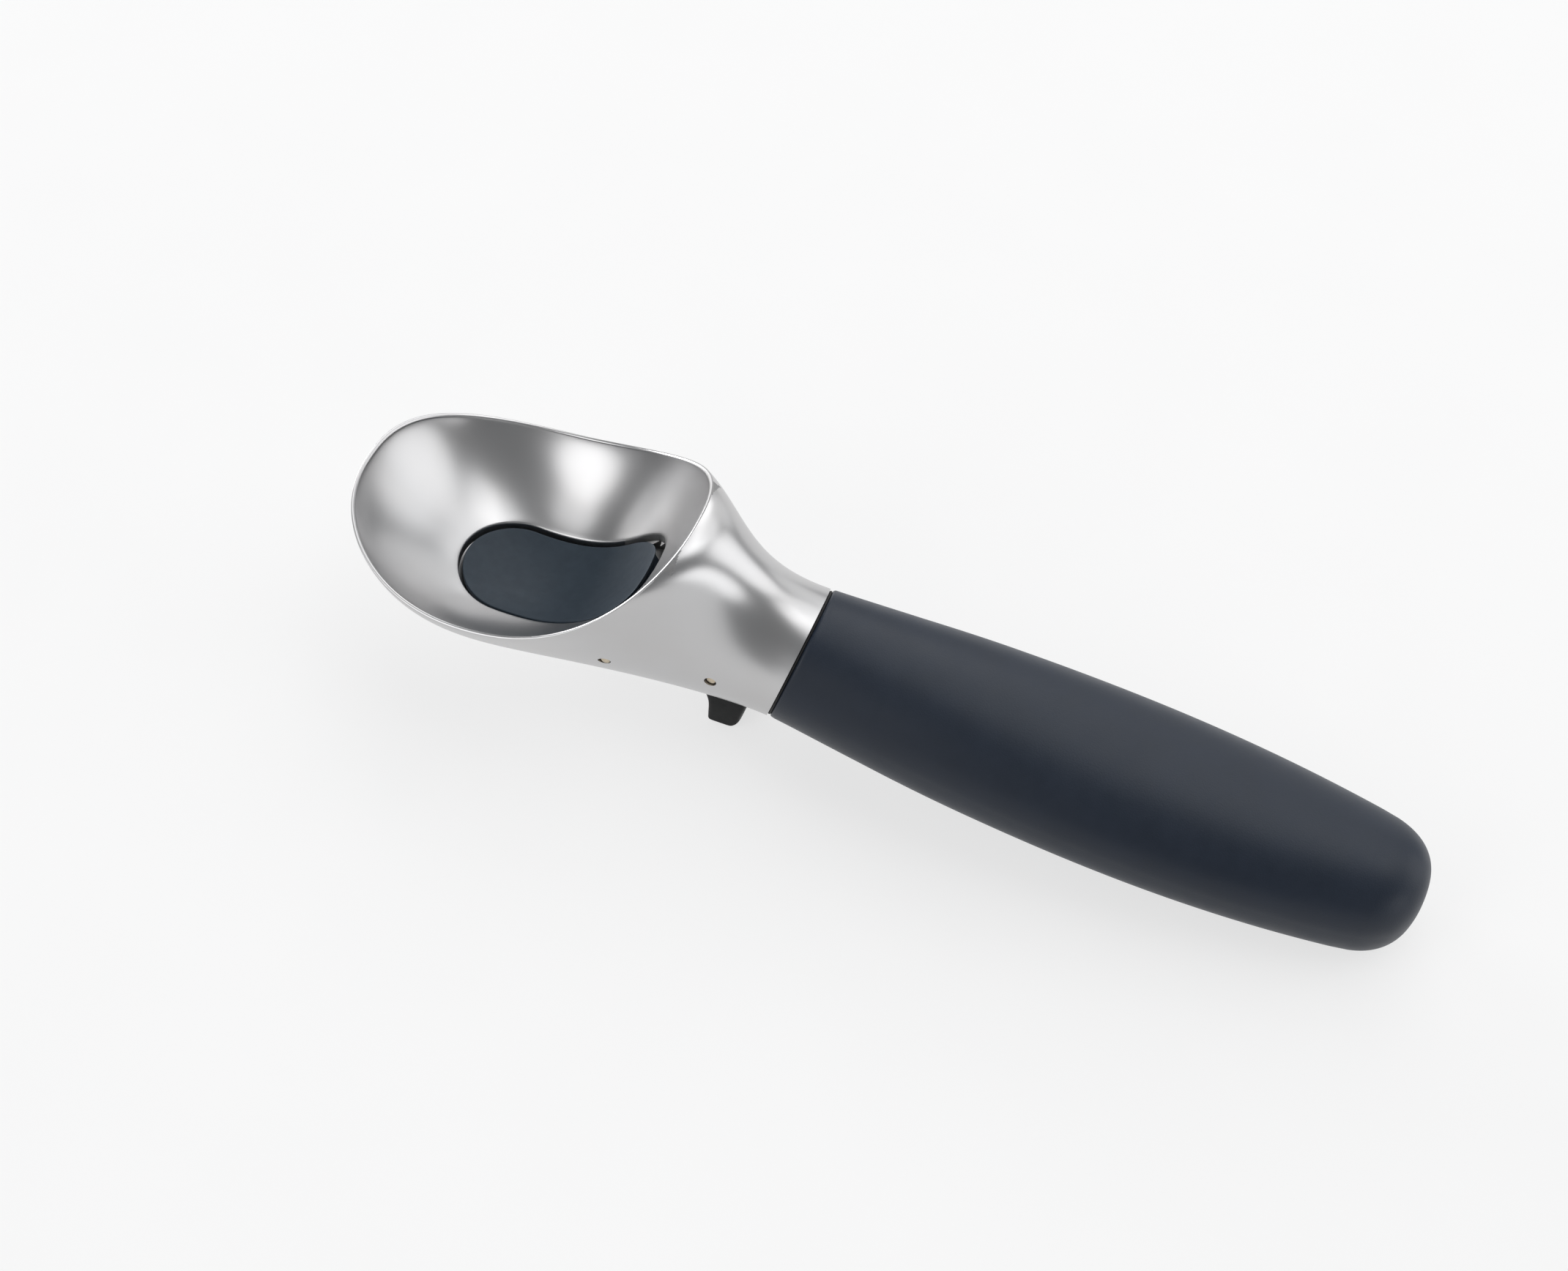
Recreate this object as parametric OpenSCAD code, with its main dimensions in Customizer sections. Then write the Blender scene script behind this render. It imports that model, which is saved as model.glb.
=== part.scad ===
// Ice cream scoop with a finger trigger that lifts a flap in the bowl's floor.
// X runs from the bowl's front lip to the end of the handle, Z is up, and the
// origin is under the middle of the scoop, on the table that it lies on.

/* [Overall] */
// Length from the front lip to the end of the handle
overall_length = 210; // [204:1:222]
// Height of the rim's back corner above the table
back_height = 50; // [49:0.1:51]
// Height of the front lip above the table
lip_height = 38; // [37:0.1:40]

/* [Bowl] */
// Length of the bowl's rim
bowl_length = 67.6; // [66.5:0.1:69]
// Width of the bowl's rim
bowl_width = 52.8; // [51:0.1:56]
// How far the middle of the rim dips below its two ends
rim_dip = 13.1; // [12:0.1:14]
// How much deeper the dip is towards the back than towards the front
dip_lean = 0.1; // [0.05:0.01:0.15]
// How much steeper the dip is near the rim's two ends
dip_flatness = 0.17; // [0.1:0.01:0.22]
// Exponent of the rim's outline, where 2 is an ellipse
rim_squareness = 2.36; // [2.2:0.01:2.5]
// Thickness of the bowl's wall at the rim
rim_wall = 1; // [0.95:0.05:1.4]
// How far the rounded lip stands above the rim line
lip_crown = 0.25; // [0.15:0.05:0.4]
// Height of the lowest point of the bowl's floor
floor_height = 16.4; // [16:0.05:16.8]
// Exponent of the floor's curve along the ground
floor_curve = 1.67; // [1.62:0.01:1.75]
// Exponent of the floor's curve up the wall
wall_curve = 1.54; // [1.5:0.01:1.6]
// Height that the front of the underside is drawn down to
belly_height = 8.4; // [8:0.1:8.8]

/* [Neck] */
// Distance from the front lip to the bottom of the neck's end
neck_reach = 84.8; // [84.4:0.1:87]
// How far the top of the neck's end lies behind its bottom
neck_lean = 6.6; // [6:0.1:7.4]
// Height of the bottom of the neck's end
neck_bottom = 8.6; // [8.3:0.1:9.2]
// Height of the top of the neck's end
neck_top = 35; // [34.4:0.1:35.6]
// Width of the neck's end
neck_width = 26.2; // [25.6:0.1:27.4]
// Height of the shoulder just behind the rim
shoulder_height = 49; // [48.2:0.1:49.6]
// Height of the shoulder where it runs into the neck
shoulder_foot = 38.8; // [38:0.1:40]
// Thickness of the seal between the neck and the handle
seal_thickness = 0.6; // [0.4:0.1:1]
// Depth of the groove that the seal lies in
seal_recess = 0.35; // [0.2:0.05:0.5]
// Breadth of the seal's ring
seal_breadth = 3; // [2.6:0.1:3.6]

/* [Tang] */
// Length of the tang inside the handle
tang_length = 92; // [80:1:98]
// Thickness of the tang from side to side
tang_width = 7; // [6:0.1:8]
// Height of the tang where it leaves the neck
tang_root = 13; // [12:0.1:13.6]
// Height of the tang at its end
tang_tip = 8; // [7:0.1:9]
// Gap between the tang and the core halves
tang_clearance = 0.15; // [0.1:0.01:0.25]

/* [Ejector] */
// Distance from the front lip to the front of the flap
flap_front = 19.4; // [19:0.1:20]
// Length of the flap
flap_length = 37.6; // [37:0.1:38.2]
// Width of the flap
flap_width = 20.3; // [19.8:0.1:21]
// Radius of the flap's two back corners
flap_corner = 7; // [6:0.1:7.8]
// Thickness of the flap
flap_thickness = 1.6; // [1.4:0.05:1.7]
// How far the flap lies below the bowl's floor
flap_recess = 0.3; // [0.2:0.05:0.45]
// Gap round the front and sides of the flap
flap_gap = 0.9; // [0.7:0.05:1.1]
// Gap behind the flap, where its end swings back
flap_back_gap = 2; // [1.9:0.05:2.3]
// Gap between the flap and the bottom of its pocket
flap_seat = 0.2; // [0.15:0.05:0.3]
// Distance from the front lip to the ejector's pin
ejector_pin_reach = 56.1; // [55.8:0.05:56.4]
// Height of the ejector's pin above the table
ejector_pin_height = 23.3; // [23:0.05:23.5]
// Radius of the ejector's hub
ejector_hub = 2.9; // [2.6:0.05:3.1]
// Thickness of each jaw of the ejector's fork
jaw_thickness = 1.7; // [1.4:0.05:1.8]

/* [Trigger] */
// Distance from the front lip to the trigger's pin
trigger_pin_reach = 75.65; // [75.4:0.05:75.9]
// Height of the trigger's pin above the table
trigger_pin_height = 22.1; // [21.9:0.05:22.3]
// How far the trigger turns, in degrees
trigger_travel = 12; // [10:0.5:12]
// Width of the trigger's finger pad
pad_width = 12; // [11:0.1:12.2]
// Radius of the trigger's hub
trigger_hub = 3.4; // [3:0.05:3.6]
// Radius of the knob that works in the ejector's fork
knob_radius = 1.65; // [1.5:0.05:1.75]
// Share of the way between the pins at which the knob lies, from the trigger's pin
knob_share = 0.597; // [0.585:0.001:0.605]
// Gap between the knob and the fork
knob_clearance = 0.2; // [0.15:0.01:0.25]
// Radius of the smaller hub that carries the spring
arbor_radius = 2.2; // [2:0.05:2.3]

/* [Pins] */
// Diameter of both hinge pins
pin_diameter = 2; // [1.8:0.05:2.2]
// Radial clearance of a pin in its hole
running_clearance = 0.05; // [0.02:0.01:0.09]
// Length of the ejector's pin
ejector_pin_length = 34.4; // [33:0.1:34.8]
// Length of the trigger's pin
trigger_pin_length = 26; // [25:0.1:26.4]
// Width of the channel under the neck
channel_width = 13; // [12.7:0.1:13.6]
// Height of the channel's roof above the trigger's pin
channel_roof = 5.4; // [5.2:0.1:5.8]

/* [Spring] */
// Diameter of the spring's wire
wire_diameter = 0.7; // [0.6:0.01:0.74]
// Number of whole turns of the spring
spring_coils = 3; // [2:1:3]
// Distance from one turn of the spring to the next
spring_pitch = 1.16; // [1.14:0.01:1.25]

/* [Handle] */
// Greatest width of the handle's side curve
handle_swell = 19.5; // [18.6:0.1:20.4]
// Half of the handle's width where its end is rounded
handle_end_width = 10.8; // [10.4:0.1:11.6]
// Half of the handle's height where its end is rounded
handle_end_height = 11.4; // [11:0.1:11.8]
// Height of the middle of the handle's end
handle_end_level = 10.74; // [10.7:0.02:11.2]
// Length of the rounded end
end_rounding = 12.2; // [11:0.1:14]
// Thickness of the soft grip
grip_wall = 2.6; // [2.3:0.1:2.9]
// Gap between the grip and the core
grip_clearance = 0.1; // [0.05:0.01:0.2]
// Distance from the neck to the first core screw
screw_start = 24; // [22:0.5:28]
// Distance between the two core screws
screw_spacing = 44; // [38:0.5:48]
// Diameter of a core screw's shank
screw_diameter = 3; // [2.5:0.1:3.5]
// Diameter of a core screw's head
screw_head = 5.6; // [5:0.1:6]
// Length of a core screw's shank
screw_length = 17; // [15:0.5:18]

/* [Hidden] */
$fn = 48;

// Places along the scoop
lip_x = -overall_length / 2;
end_x = overall_length / 2;
bowl_x = lip_x + bowl_length / 2;
back_x = lip_x + bowl_length;
seam_bottom = [lip_x + neck_reach, neck_bottom];
seam_top = seam_bottom + [neck_lean, neck_top - neck_bottom];
seam_middle = (seam_bottom + seam_top) / 2;
ejector_axis = [lip_x + ejector_pin_reach, ejector_pin_height];
trigger_axis = [lip_x + trigger_pin_reach, trigger_pin_height];

// Curves of the head's outer skin, from the rim to the seam
underside_curve = [[lip_x, lip_height], [lip_x + 0.5, belly_height],
                   [lip_x + bowl_length * 0.86, belly_height + 1.4], seam_bottom];
shoulder_curve = [[back_x, back_height], [back_x + 8, shoulder_height],
                  [back_x + 9.7, shoulder_foot], seam_top];
side_curve = [bowl_width / 2, bowl_width * 0.422, bowl_width * 0.211, neck_width / 2];
dip_fade = 1.3;
skin_rings = 20;
head_points = 48;
bowl_rings = 13;

// The lever pair: the knob lies on the line between the two pins
pin_step = ejector_axis - trigger_axis;
pin_distance = norm(pin_step);
knob_reach = pin_distance * knob_share;
fork_reach = pin_distance - knob_reach;
fork_slope = atan2(trigger_axis[1] - ejector_axis[1], trigger_axis[0] - ejector_axis[0]);
knob_axis = trigger_axis + pin_step * knob_share;
// Turn of the ejector for each degree of the trigger, the other way
lever_ratio = knob_reach / fork_reach * 0.951;
ejector_travel = trigger_travel * lever_ratio;
arm_width = 5;
arm_side = -2.9;

pin_radius = pin_diameter / 2;
bore_radius = pin_radius + running_clearance;
pin_mouth = bore_radius + 0.12;
ejector_width = channel_width - 1;

// Handle
seam_drop = 0.6;
handle_side = [neck_width / 2, handle_swell - 1.6, handle_swell + 1.6, handle_end_width];
handle_height = [13.2, 12.8, 12.6, handle_end_height];
handle_level = [seam_middle[1] + seam_drop, 18.1, 14.15, handle_end_level];
handle_slope = (handle_end_level - seam_middle[1]) / (end_x - seam_middle[0]);
end_exponent = 2.9;
handle_points = 36;
core_inset = grip_wall + grip_clearance;
seam_settle = 0.3;
end_tilt = 0.13;

function lerp(a, b, t) = a + (b - a) * t;
function bezier(p, t) =
    pow(1 - t, 3) * p[0] + 3 * pow(1 - t, 2) * t * p[1] + 3 * (1 - t) * t * t * p[2] + pow(t, 3) * p[3];
function signed_power(v, n) = sign(v) * pow(abs(v), n);
function unit(v) = v / norm(v);
function arc(centre, radius, from, to, steps) =
    [for (i = [0:steps]) centre + radius * [cos(lerp(from, to, i / steps)), sin(lerp(from, to, i / steps))]];

// A closed skin through rings of points, with a point at each end. Seen from outside the
// first point, the rings run counter-clockwise.
module ringed_solid(first, rings, last) {
    count = len(rings[0]);
    points = concat([first], [for (ring = rings) each ring], [last]);
    last_index = len(points) - 1;
    last_ring = (len(rings) - 1) * count + 1;
    faces = concat(
        [for (i = [0:count - 1]) [0, 1 + (i + 1) % count, 1 + i]],
        [for (r = [0:len(rings) - 2], i = [0:count - 1])
            let (a = 1 + r * count + i, b = 1 + r * count + (i + 1) % count)
            each [[a, b, a + count], [b, b + count, a + count]]],
        [for (i = [0:count - 1]) [last_index, last_ring + i, last_ring + (i + 1) % count]]);
    polyhedron(points = points, faces = faces, convexity = 8);
}

// A ring-shaped solid whose section is given by closed rings
module hoop_solid(rings) {
    count = len(rings[0]);
    total = len(rings) * count;
    points = [for (ring = rings) each ring];
    faces = [for (r = [0:len(rings) - 1], i = [0:count - 1])
        let (a = r * count + i, b = r * count + (i + 1) % count,
             c = (a + count) % total, d = (b + count) % total)
        each [[a, b, c], [b, d, c]]];
    polyhedron(points = points, faces = faces, convexity = 6);
}

// A side view, drawn in X and Z, carried across the scoop
module across(width, side = 0) {
    translate([0, side, 0]) rotate([90, 0, 0]) linear_extrude(width, center = true) children();
}

// A round bar or bore along Y
module across_bar(axis, radius, width, side = 0) {
    translate([axis[0], side, axis[1]]) rotate([90, 0, 0]) cylinder(h = width, r = radius, center = true);
}

// Share of the rim's dip at a share of the way from the front to the back
function dip_share(t) =
    let (b = 2 * t - 1)
    4 * t * (1 - t) * (1 + dip_lean * b + dip_flatness * b * b);

// Height of the rim line over a place along the bowl
function rim_height(x) =
    let (t = (x - lip_x) / bowl_length)
    lerp(lip_height, back_height, t) - rim_dip * dip_share(t);

// Height of the bowl's floor at a point in plan
function floor_level(x, y) =
    let (n = rim_squareness,
         half_x = bowl_length / 2 - rim_wall, half_y = bowl_width / 2 - rim_wall,
         reach = pow(pow(abs(x - bowl_x) / half_x, n) + pow(abs(y) / half_y, n), 1 / n),
         share = min(max(reach, 0.001), 1),
         edge = bowl_x + (x - bowl_x) / share,
         rise = 1 - pow(1 - pow(share, floor_curve), 1 / wall_curve))
    floor_height + (rim_height(edge) - floor_height) * rise;

// One ring of the head's outer skin, at share s of the way from the rim to the seam
function skin_ring(s) =
    let (low = bezier(underside_curve, s), high = bezier(shoulder_curve, s),
         half = bezier(side_curve, s), n = lerp(2, rim_squareness, pow(1 - s, 2)),
         dip = rim_dip * pow(1 - s, dip_fade))
    [for (i = [0:head_points - 1])
        let (a = 360 * i / head_points,
             u = signed_power(cos(a), 2 / n), v = signed_power(sin(a), 2 / n),
             f = (1 - u) / 2, p = lerp(low, high, f))
        [p[0], half * v, p[1] - dip * dip_share(f)]];

// A ring of the lip, set in from the rim by a distance
function lip_ring(inset, rise) =
    [for (i = [0:head_points - 1])
        let (a = 360 * i / head_points, n = rim_squareness,
             x = bowl_x - (bowl_length / 2 - inset) * signed_power(cos(a), 2 / n),
             y = (bowl_width / 2 - inset) * signed_power(sin(a), 2 / n))
        [x, y, rim_height(x) + rise]];

// A ring of the bowl's inside, at an angle that runs from 90 at the rim to 0 at the floor's middle
function bowl_ring(angle) =
    let (share = pow(sin(angle), 2 / floor_curve), rise = 1 - pow(cos(angle), 2 / wall_curve))
    [for (i = [0:head_points - 1])
        let (a = 360 * i / head_points, n = rim_squareness,
             edge = bowl_x - (bowl_length / 2 - rim_wall) * signed_power(cos(a), 2 / n))
        [bowl_x + (edge - bowl_x) * share,
         (bowl_width / 2 - rim_wall) * signed_power(sin(a), 2 / n) * share,
         lerp(floor_height, rim_height(edge), rise)]];

module head_skin() {
    outer = [for (k = [0:skin_rings]) skin_ring(1 - k / skin_rings)];
    lip = [lip_ring(rim_wall * 0.3, lip_crown), lip_ring(rim_wall * 0.7, lip_crown)];
    inner = [for (k = [0:bowl_rings - 1]) bowl_ring(90 - 84 * k / (bowl_rings - 1))];
    ringed_solid([seam_middle[0], 0, seam_middle[1]], concat(outer, lip, inner),
                 [bowl_x, 0, floor_height]);
}

// Outline of the flap in plan, larger by a gap at the front and sides and by another behind
function flap_outline(gap, back_gap) =
    let (half = flap_width / 2 + gap, front = lip_x + flap_front - gap,
         back = lip_x + flap_front + flap_length + back_gap, r = flap_corner + gap,
         side_steps = 5, side_from = front + half, side_to = back - r)
    concat(
        arc([front + half, 0], half, 90, 270, 17),
        [for (i = [1:side_steps - 1]) [lerp(side_from, side_to, i / side_steps), -half]],
        arc([back - r, r - half], r, -90, 0, 6),
        arc([back - r, half - r], r, 0, 90, 6),
        [for (i = [1:side_steps - 1]) [lerp(side_to, side_from, i / side_steps), half]]);

// A sheet under the bowl's floor, between two depths, with the flap's outline
module floor_sheet(gap, back_gap, top, bottom) {
    middle = [lip_x + flap_front + flap_length / 2, 0];
    outline = flap_outline(gap, back_gap);
    shares = [0.3, 0.6, 0.82, 1];
    top_rings = [for (k = shares) [for (p = outline) let (q = lerp(middle, p, k))
        [q[0], q[1], floor_level(q[0], q[1]) - top]]];
    bottom_rings = [for (j = [3:-1:0]) [for (p = outline) let (q = lerp(middle, p, shares[j]))
        [q[0], q[1], floor_level(q[0], q[1]) - bottom]]];
    centre_level = floor_level(middle[0], 0);
    ringed_solid([middle[0], 0, centre_level - top], concat(top_rings, bottom_rings),
                 [middle[0], 0, centre_level - bottom]);
}

flap_depth = flap_recess + flap_thickness;
pocket_depth = flap_depth + flap_seat;
flap_back = lip_x + flap_front + flap_length;
// Furthest and nearest reach of the swing room from the ejector's pin, past the flap's back end
swing_outer = max([for (p = flap_outline(0, 0)) if (p[0] > ejector_axis[0] - 2)
    norm([p[0], floor_level(p[0], p[1]) - flap_recess] - ejector_axis)]) + 0.35;
swing_inner = 2.7;

// The room under the bowl's back wall that the flap's end swings through
module swing_room() {
    across(flap_width)
        polygon(concat(
            arc(ejector_axis, swing_outer, 52, 106, 16),
            arc(ejector_axis, swing_inner, 146, 52, 12)));
}

channel_front = ejector_axis[0] - 9;
channel_back = seam_bottom[0] - 1.3;
roof = trigger_axis[1] + channel_roof;
module channel() {
    across(channel_width)
        polygon(concat(
            [[channel_front, -1]],
            [for (i = [0:5]) let (x = lerp(channel_front, ejector_axis[0] + 1, i / 5))
                [x, floor_level(x, 0) - flap_recess]],
            [ejector_axis + [4.4, 5.6], [ejector_axis[0] + 5.4, roof],
             [channel_back, roof], [channel_back, -1]]));
}

// The tang's side view, made larger all round by a gap
module tang_profile(gap) {
    from = [seam_bottom[0] + 2, seam_middle[1] - 0.5];
    to = [seam_middle[0] + tang_length, seam_middle[1] + 0.3 + handle_slope * tang_length];
    polygon([[from[0], from[1] + tang_root / 2 + gap], [to[0] + gap, to[1] + tang_tip / 2 + gap],
             [to[0] + gap, to[1] - tang_tip / 2 - gap], [from[0], from[1] - tang_root / 2 - gap]]);
}

function screw_axis(i) =
    let (x = seam_middle[0] + screw_start + i * screw_spacing)
    [x, seam_middle[1] + handle_slope * (x - seam_middle[0])];

module scoop_head() color([0.72, 0.72, 0.73])
    difference() {
        union() {
            head_skin();
            across(tang_width) tang_profile(0);
        }
        channel();
        floor_sheet(flap_gap, flap_back_gap, -3, pocket_depth);
        swing_room();
        for (pin = [[ejector_axis, ejector_pin_length], [trigger_axis, trigger_pin_length]]) {
            across_bar(pin[0], bore_radius, bowl_width);
            for (side = [-1, 1])
                across_bar(pin[0], pin_mouth, 10, side * (pin[1] / 2 - 0.8 + 5));
        }
        for (i = [0, 1]) across_bar(screw_axis(i), screw_diameter / 2 + 0.4, tang_width + 2);
    }

// The fork's side view, drawn from the ejector's pin towards the trigger's pin
module fork_profile() {
    slot = knob_radius + knob_clearance;
    outer = slot + jaw_thickness;
    difference() {
        polygon([[0, -ejector_hub], [fork_reach - 1, -outer], [fork_reach + 1.4, -outer],
                 [fork_reach + 1.6, -slot], [fork_reach + 0.5, slot], [fork_reach + 0.2, outer],
                 [fork_reach - 2, outer], [0, ejector_hub]]);
        translate([fork_reach - 0.3, 0]) circle(slot);
        translate([fork_reach - 0.3, -slot]) square([4, 2 * slot]);
    }
}

module ejector() color([0.22, 0.26, 0.3])
    difference() {
        union() {
            floor_sheet(0, 0, flap_recess, flap_depth);
            across_bar(ejector_axis, ejector_hub, ejector_width);
            across(ejector_width)
                polygon(concat(
                    [for (i = [0:5]) let (x = lerp(ejector_axis[0] - 7.5, flap_back - 0.6, i / 5))
                        [x, floor_level(x, 0) - flap_recess - flap_thickness * 0.7]],
                    [ejector_axis + [ejector_hub, 0], ejector_axis - [ejector_hub, 0]]));
            across(arm_width, arm_side)
                translate(ejector_axis) rotate(fork_slope) fork_profile();
        }
        across_bar(ejector_axis, bore_radius, bowl_width);
    }

module hinge_pin(axis, length) {
    edge = 0.25;
    translate([axis[0], 0, axis[1]]) rotate([90, 0, 0]) rotate_extrude()
        polygon([[0, -length / 2], [pin_radius - edge, -length / 2], [pin_radius, -length / 2 + edge],
                 [pin_radius, length / 2 - edge], [pin_radius - edge, length / 2], [0, length / 2]]);
}
module ejector_pin() color([0.62, 0.6, 0.56]) hinge_pin(ejector_axis, ejector_pin_length);
module trigger_pin() color([0.62, 0.6, 0.56]) hinge_pin(trigger_axis, trigger_pin_length);

// The finger pad's side view, drawn from the trigger's pin, with its tip on the table
module pad_profile() {
    tip = -trigger_axis[1];
    front = -3.1;
    back = 5.1;
    polygon(concat(
        [[-trigger_hub, 0], [-4.3, -8], [-5, -10.6], [-4, -13.4], [front - 0.4, -16.5]],
        arc([front + 1.5, tip + 1.5], 1.5, 180, 270, 6),
        arc([back - 3.6, tip + 2.3], 2.3, 270, 340, 6),
        [[back - 0.6, tip + 6.4], [back, tip + 10], [back - 0.3, tip + 12.4], [back - 1.2, -6],
         [trigger_hub, 0]]));
}

// The spring lies beside the trigger's web, with one leg on the channel's roof and the other
// in a groove of the web
web_side = 0.7;
roof_angle = 115;
pad_angle = 190;
spring_turns = spring_coils + (pad_angle - roof_angle) / 360;
spring_side = (web_side + pad_width / 2) / 2 + 0.2;
spring_radius = arbor_radius + wire_diameter / 2 + 0.35;
spring_room = spring_radius + wire_diameter / 2 + 0.5;
module trigger() color([0.13, 0.13, 0.14])
    difference() {
        union() {
            difference() {
                union() {
                    across_bar(trigger_axis, trigger_hub, pad_width);
                    across(pad_width) translate(trigger_axis) pad_profile();
                }
                across_bar(trigger_axis, spring_room, pad_width, pad_width / 2 + web_side);
                leg_groove();
            }
            across_bar(trigger_axis, arbor_radius, pad_width / 2, pad_width / 4);
            across(arm_width - 0.6, arm_side)
                translate(trigger_axis) rotate(fork_slope + 180)
                    polygon([[0, -2.6], [knob_reach - 3.2, -1.3], [knob_reach, -0.9],
                             [knob_reach, 0.9], [knob_reach - 3.2, 1.3], [0, 2.6]]);
            across_bar(knob_axis, knob_radius, arm_width - 0.6, arm_side);
        }
        across_bar(trigger_axis, bore_radius, bowl_width);
    }

// Torsion spring round the trigger's smaller hub
coil_steps = 8;
roof_leg = (channel_roof - 0.1 - wire_diameter / 2 - spring_radius * sin(roof_angle)) / sin(roof_angle - 90);
pad_leg = 7;
function coil_point(turn) =
    let (a = roof_angle + 360 * turn)
    [trigger_axis[0] + spring_radius * cos(a), spring_side + spring_pitch * (turn - spring_turns / 2),
     trigger_axis[1] + spring_radius * sin(a)];
function coil_tangent(turn) =
    let (a = roof_angle + 360 * turn)
    unit([-spring_radius * sin(a), spring_pitch / (2 * PI), spring_radius * cos(a)]);
spring_path = concat(
    [coil_point(0) - coil_tangent(0) * roof_leg],
    [for (i = [0:floor(spring_turns * coil_steps)]) coil_point(i / coil_steps)],
    [coil_point(spring_turns), coil_point(spring_turns) + coil_tangent(spring_turns) * pad_leg]);
function path_direction(p, i) =
    unit(p[min(i + 1, len(p) - 1)] - p[max(i - 1, 0)]);
function wire_ring(centre, along) =
    let (side = unit(cross(along, [0, 1, 0])), up = cross(side, along))
    [for (k = [0:5]) centre + wire_diameter / 2 * (side * cos(60 * k) + up * sin(60 * k))];
// Least gap from the wire to itself, between points at least five rings apart
echo(least_gap = min([for (i = [0:len(spring_path) - 6], j = [i + 5:len(spring_path) - 1])
    norm(spring_path[i] - spring_path[j])]) - wire_diameter);
// The groove in the trigger's web, open to the side, that takes the leg behind the pad
module leg_groove() {
    start = coil_point(spring_turns);
    translate([start[0], start[1], start[2]]) rotate([0, 180 - pad_angle, 0])
        translate([-wire_diameter / 2 - 0.1, -wire_diameter / 2 - 0.15, -pad_leg - 0.6])
            cube([wire_diameter + 0.7, pad_width, pad_leg + 0.6]);
}
module return_spring() color([0.6, 0.6, 0.62])
    ringed_solid(spring_path[0],
                 [for (i = [0:len(spring_path) - 1]) wire_ring(spring_path[i], path_direction(spring_path, i))],
                 spring_path[len(spring_path) - 1]);

// A ring in the plane of the seam, set in by a distance and moved along X
function seam_ring(inset, shift) =
    let (half = (neck_width / 2 - inset), reach = norm(seam_top - seam_bottom) / 2 - inset,
         up = unit(seam_top - seam_bottom))
    [for (i = [0:handle_points - 1])
        let (a = 360 * i / handle_points)
        [seam_middle[0] + shift + up[0] * reach * sin(a), half * cos(a), seam_middle[1] + up[1] * reach * sin(a)]];

module neck_seal() color([0.08, 0.08, 0.09])
    hoop_solid([seam_ring(seal_recess, 0.05), seam_ring(seal_recess + seal_breadth, 0.05),
                seam_ring(seal_recess + seal_breadth, seal_thickness - 0.05),
                seam_ring(seal_recess, seal_thickness - 0.05)]);

// One ring of the handle at share t of its length, set in by a distance
function handle_ring(t, inset) =
    let (start_x = seam_middle[0] + seal_thickness, stop_x = end_x - end_tilt - inset,
         x = lerp(start_x, stop_x, t),
         into_end = max(0, (x - (stop_x - end_rounding)) / end_rounding),
         shrink = pow(max(0, 1 - pow(min(into_end, 1), end_exponent)), 1 / end_exponent),
         settle = min(1, t / seam_settle), blend = settle * settle * (3 - 2 * settle),
         seam_up = unit(seam_top - seam_bottom), free_up = unit([-handle_slope, 1]),
         up = unit(lerp(seam_up, free_up, blend)),
         half = (bezier(handle_side, t) - inset) * shrink,
         reach = (lerp(norm(seam_top - seam_bottom) / 2, bezier(handle_height, t), min(1, settle * 2)) - inset) * shrink,
         level = bezier(handle_level, t) - seam_drop * (1 - blend),
         below = lerp(2, 2.6, blend))
    [for (i = [0:handle_points - 1])
        let (a = 360 * i / handle_points, n = sin(a) < 0 ? below : 2,
             v = signed_power(cos(a), 2 / n), w = signed_power(sin(a), 2 / n))
        [x + up[0] * reach * w, -half * v, level + up[1] * reach * w]];

// Shares of the length at which the handle has rings, closer together in the rounded end
body_shares = [0, 0.03, 0.07, 0.12, 0.18, 0.25, 0.32, 0.4, 0.48, 0.56, 0.64, 0.72, 0.8, 0.86];
function end_shares(inset) =
    let (length = end_x - end_tilt - inset - seam_middle[0] - seal_thickness)
    [for (k = [0:7]) 1 - (end_rounding / length) * (1 - pow(sin(10 + 78 * k / 7), 2 / end_exponent))];
function handle_rings(inset) =
    [for (t = concat(body_shares, end_shares(inset))) handle_ring(t, inset)];
function reversed(list) = [for (i = [len(list) - 1:-1:0]) list[i]];

module handle_grip() color([0.25, 0.27, 0.31])
    ringed_solid([end_x - end_tilt - grip_wall, 0, handle_end_level],
                 concat(reversed(handle_rings(grip_wall)), handle_rings(0)),
                 [end_x - end_tilt, 0, handle_end_level]);

module core_solid()
    ringed_solid([seam_middle[0] + seal_thickness, 0, seam_middle[1]], handle_rings(core_inset),
                 [end_x - end_tilt - core_inset, 0, handle_end_level]);

split_gap = 0.1;
head_seat = screw_length / 2 + 1.5;
// One half of the core, on the side that the sign gives
module core_half(side) {
    difference() {
        core_solid();
        translate([0, -side * (50 - split_gap / 2), 20]) cube([overall_length + 20, 100, 100], center = true);
        across(tang_width + 2 * tang_clearance) tang_profile(tang_clearance);
        for (i = [0, 1]) {
            across_bar(screw_axis(i), screw_diameter / 2 + running_clearance, 2 * head_seat + 2);
            if (side < 0) across_bar(screw_axis(i), screw_head / 2 + 0.2, 20, -head_seat - 10);
        }
    }
}
module core_left() color([0.3, 0.3, 0.32]) core_half(1);
module core_right() color([0.34, 0.34, 0.36]) core_half(-1);

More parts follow.
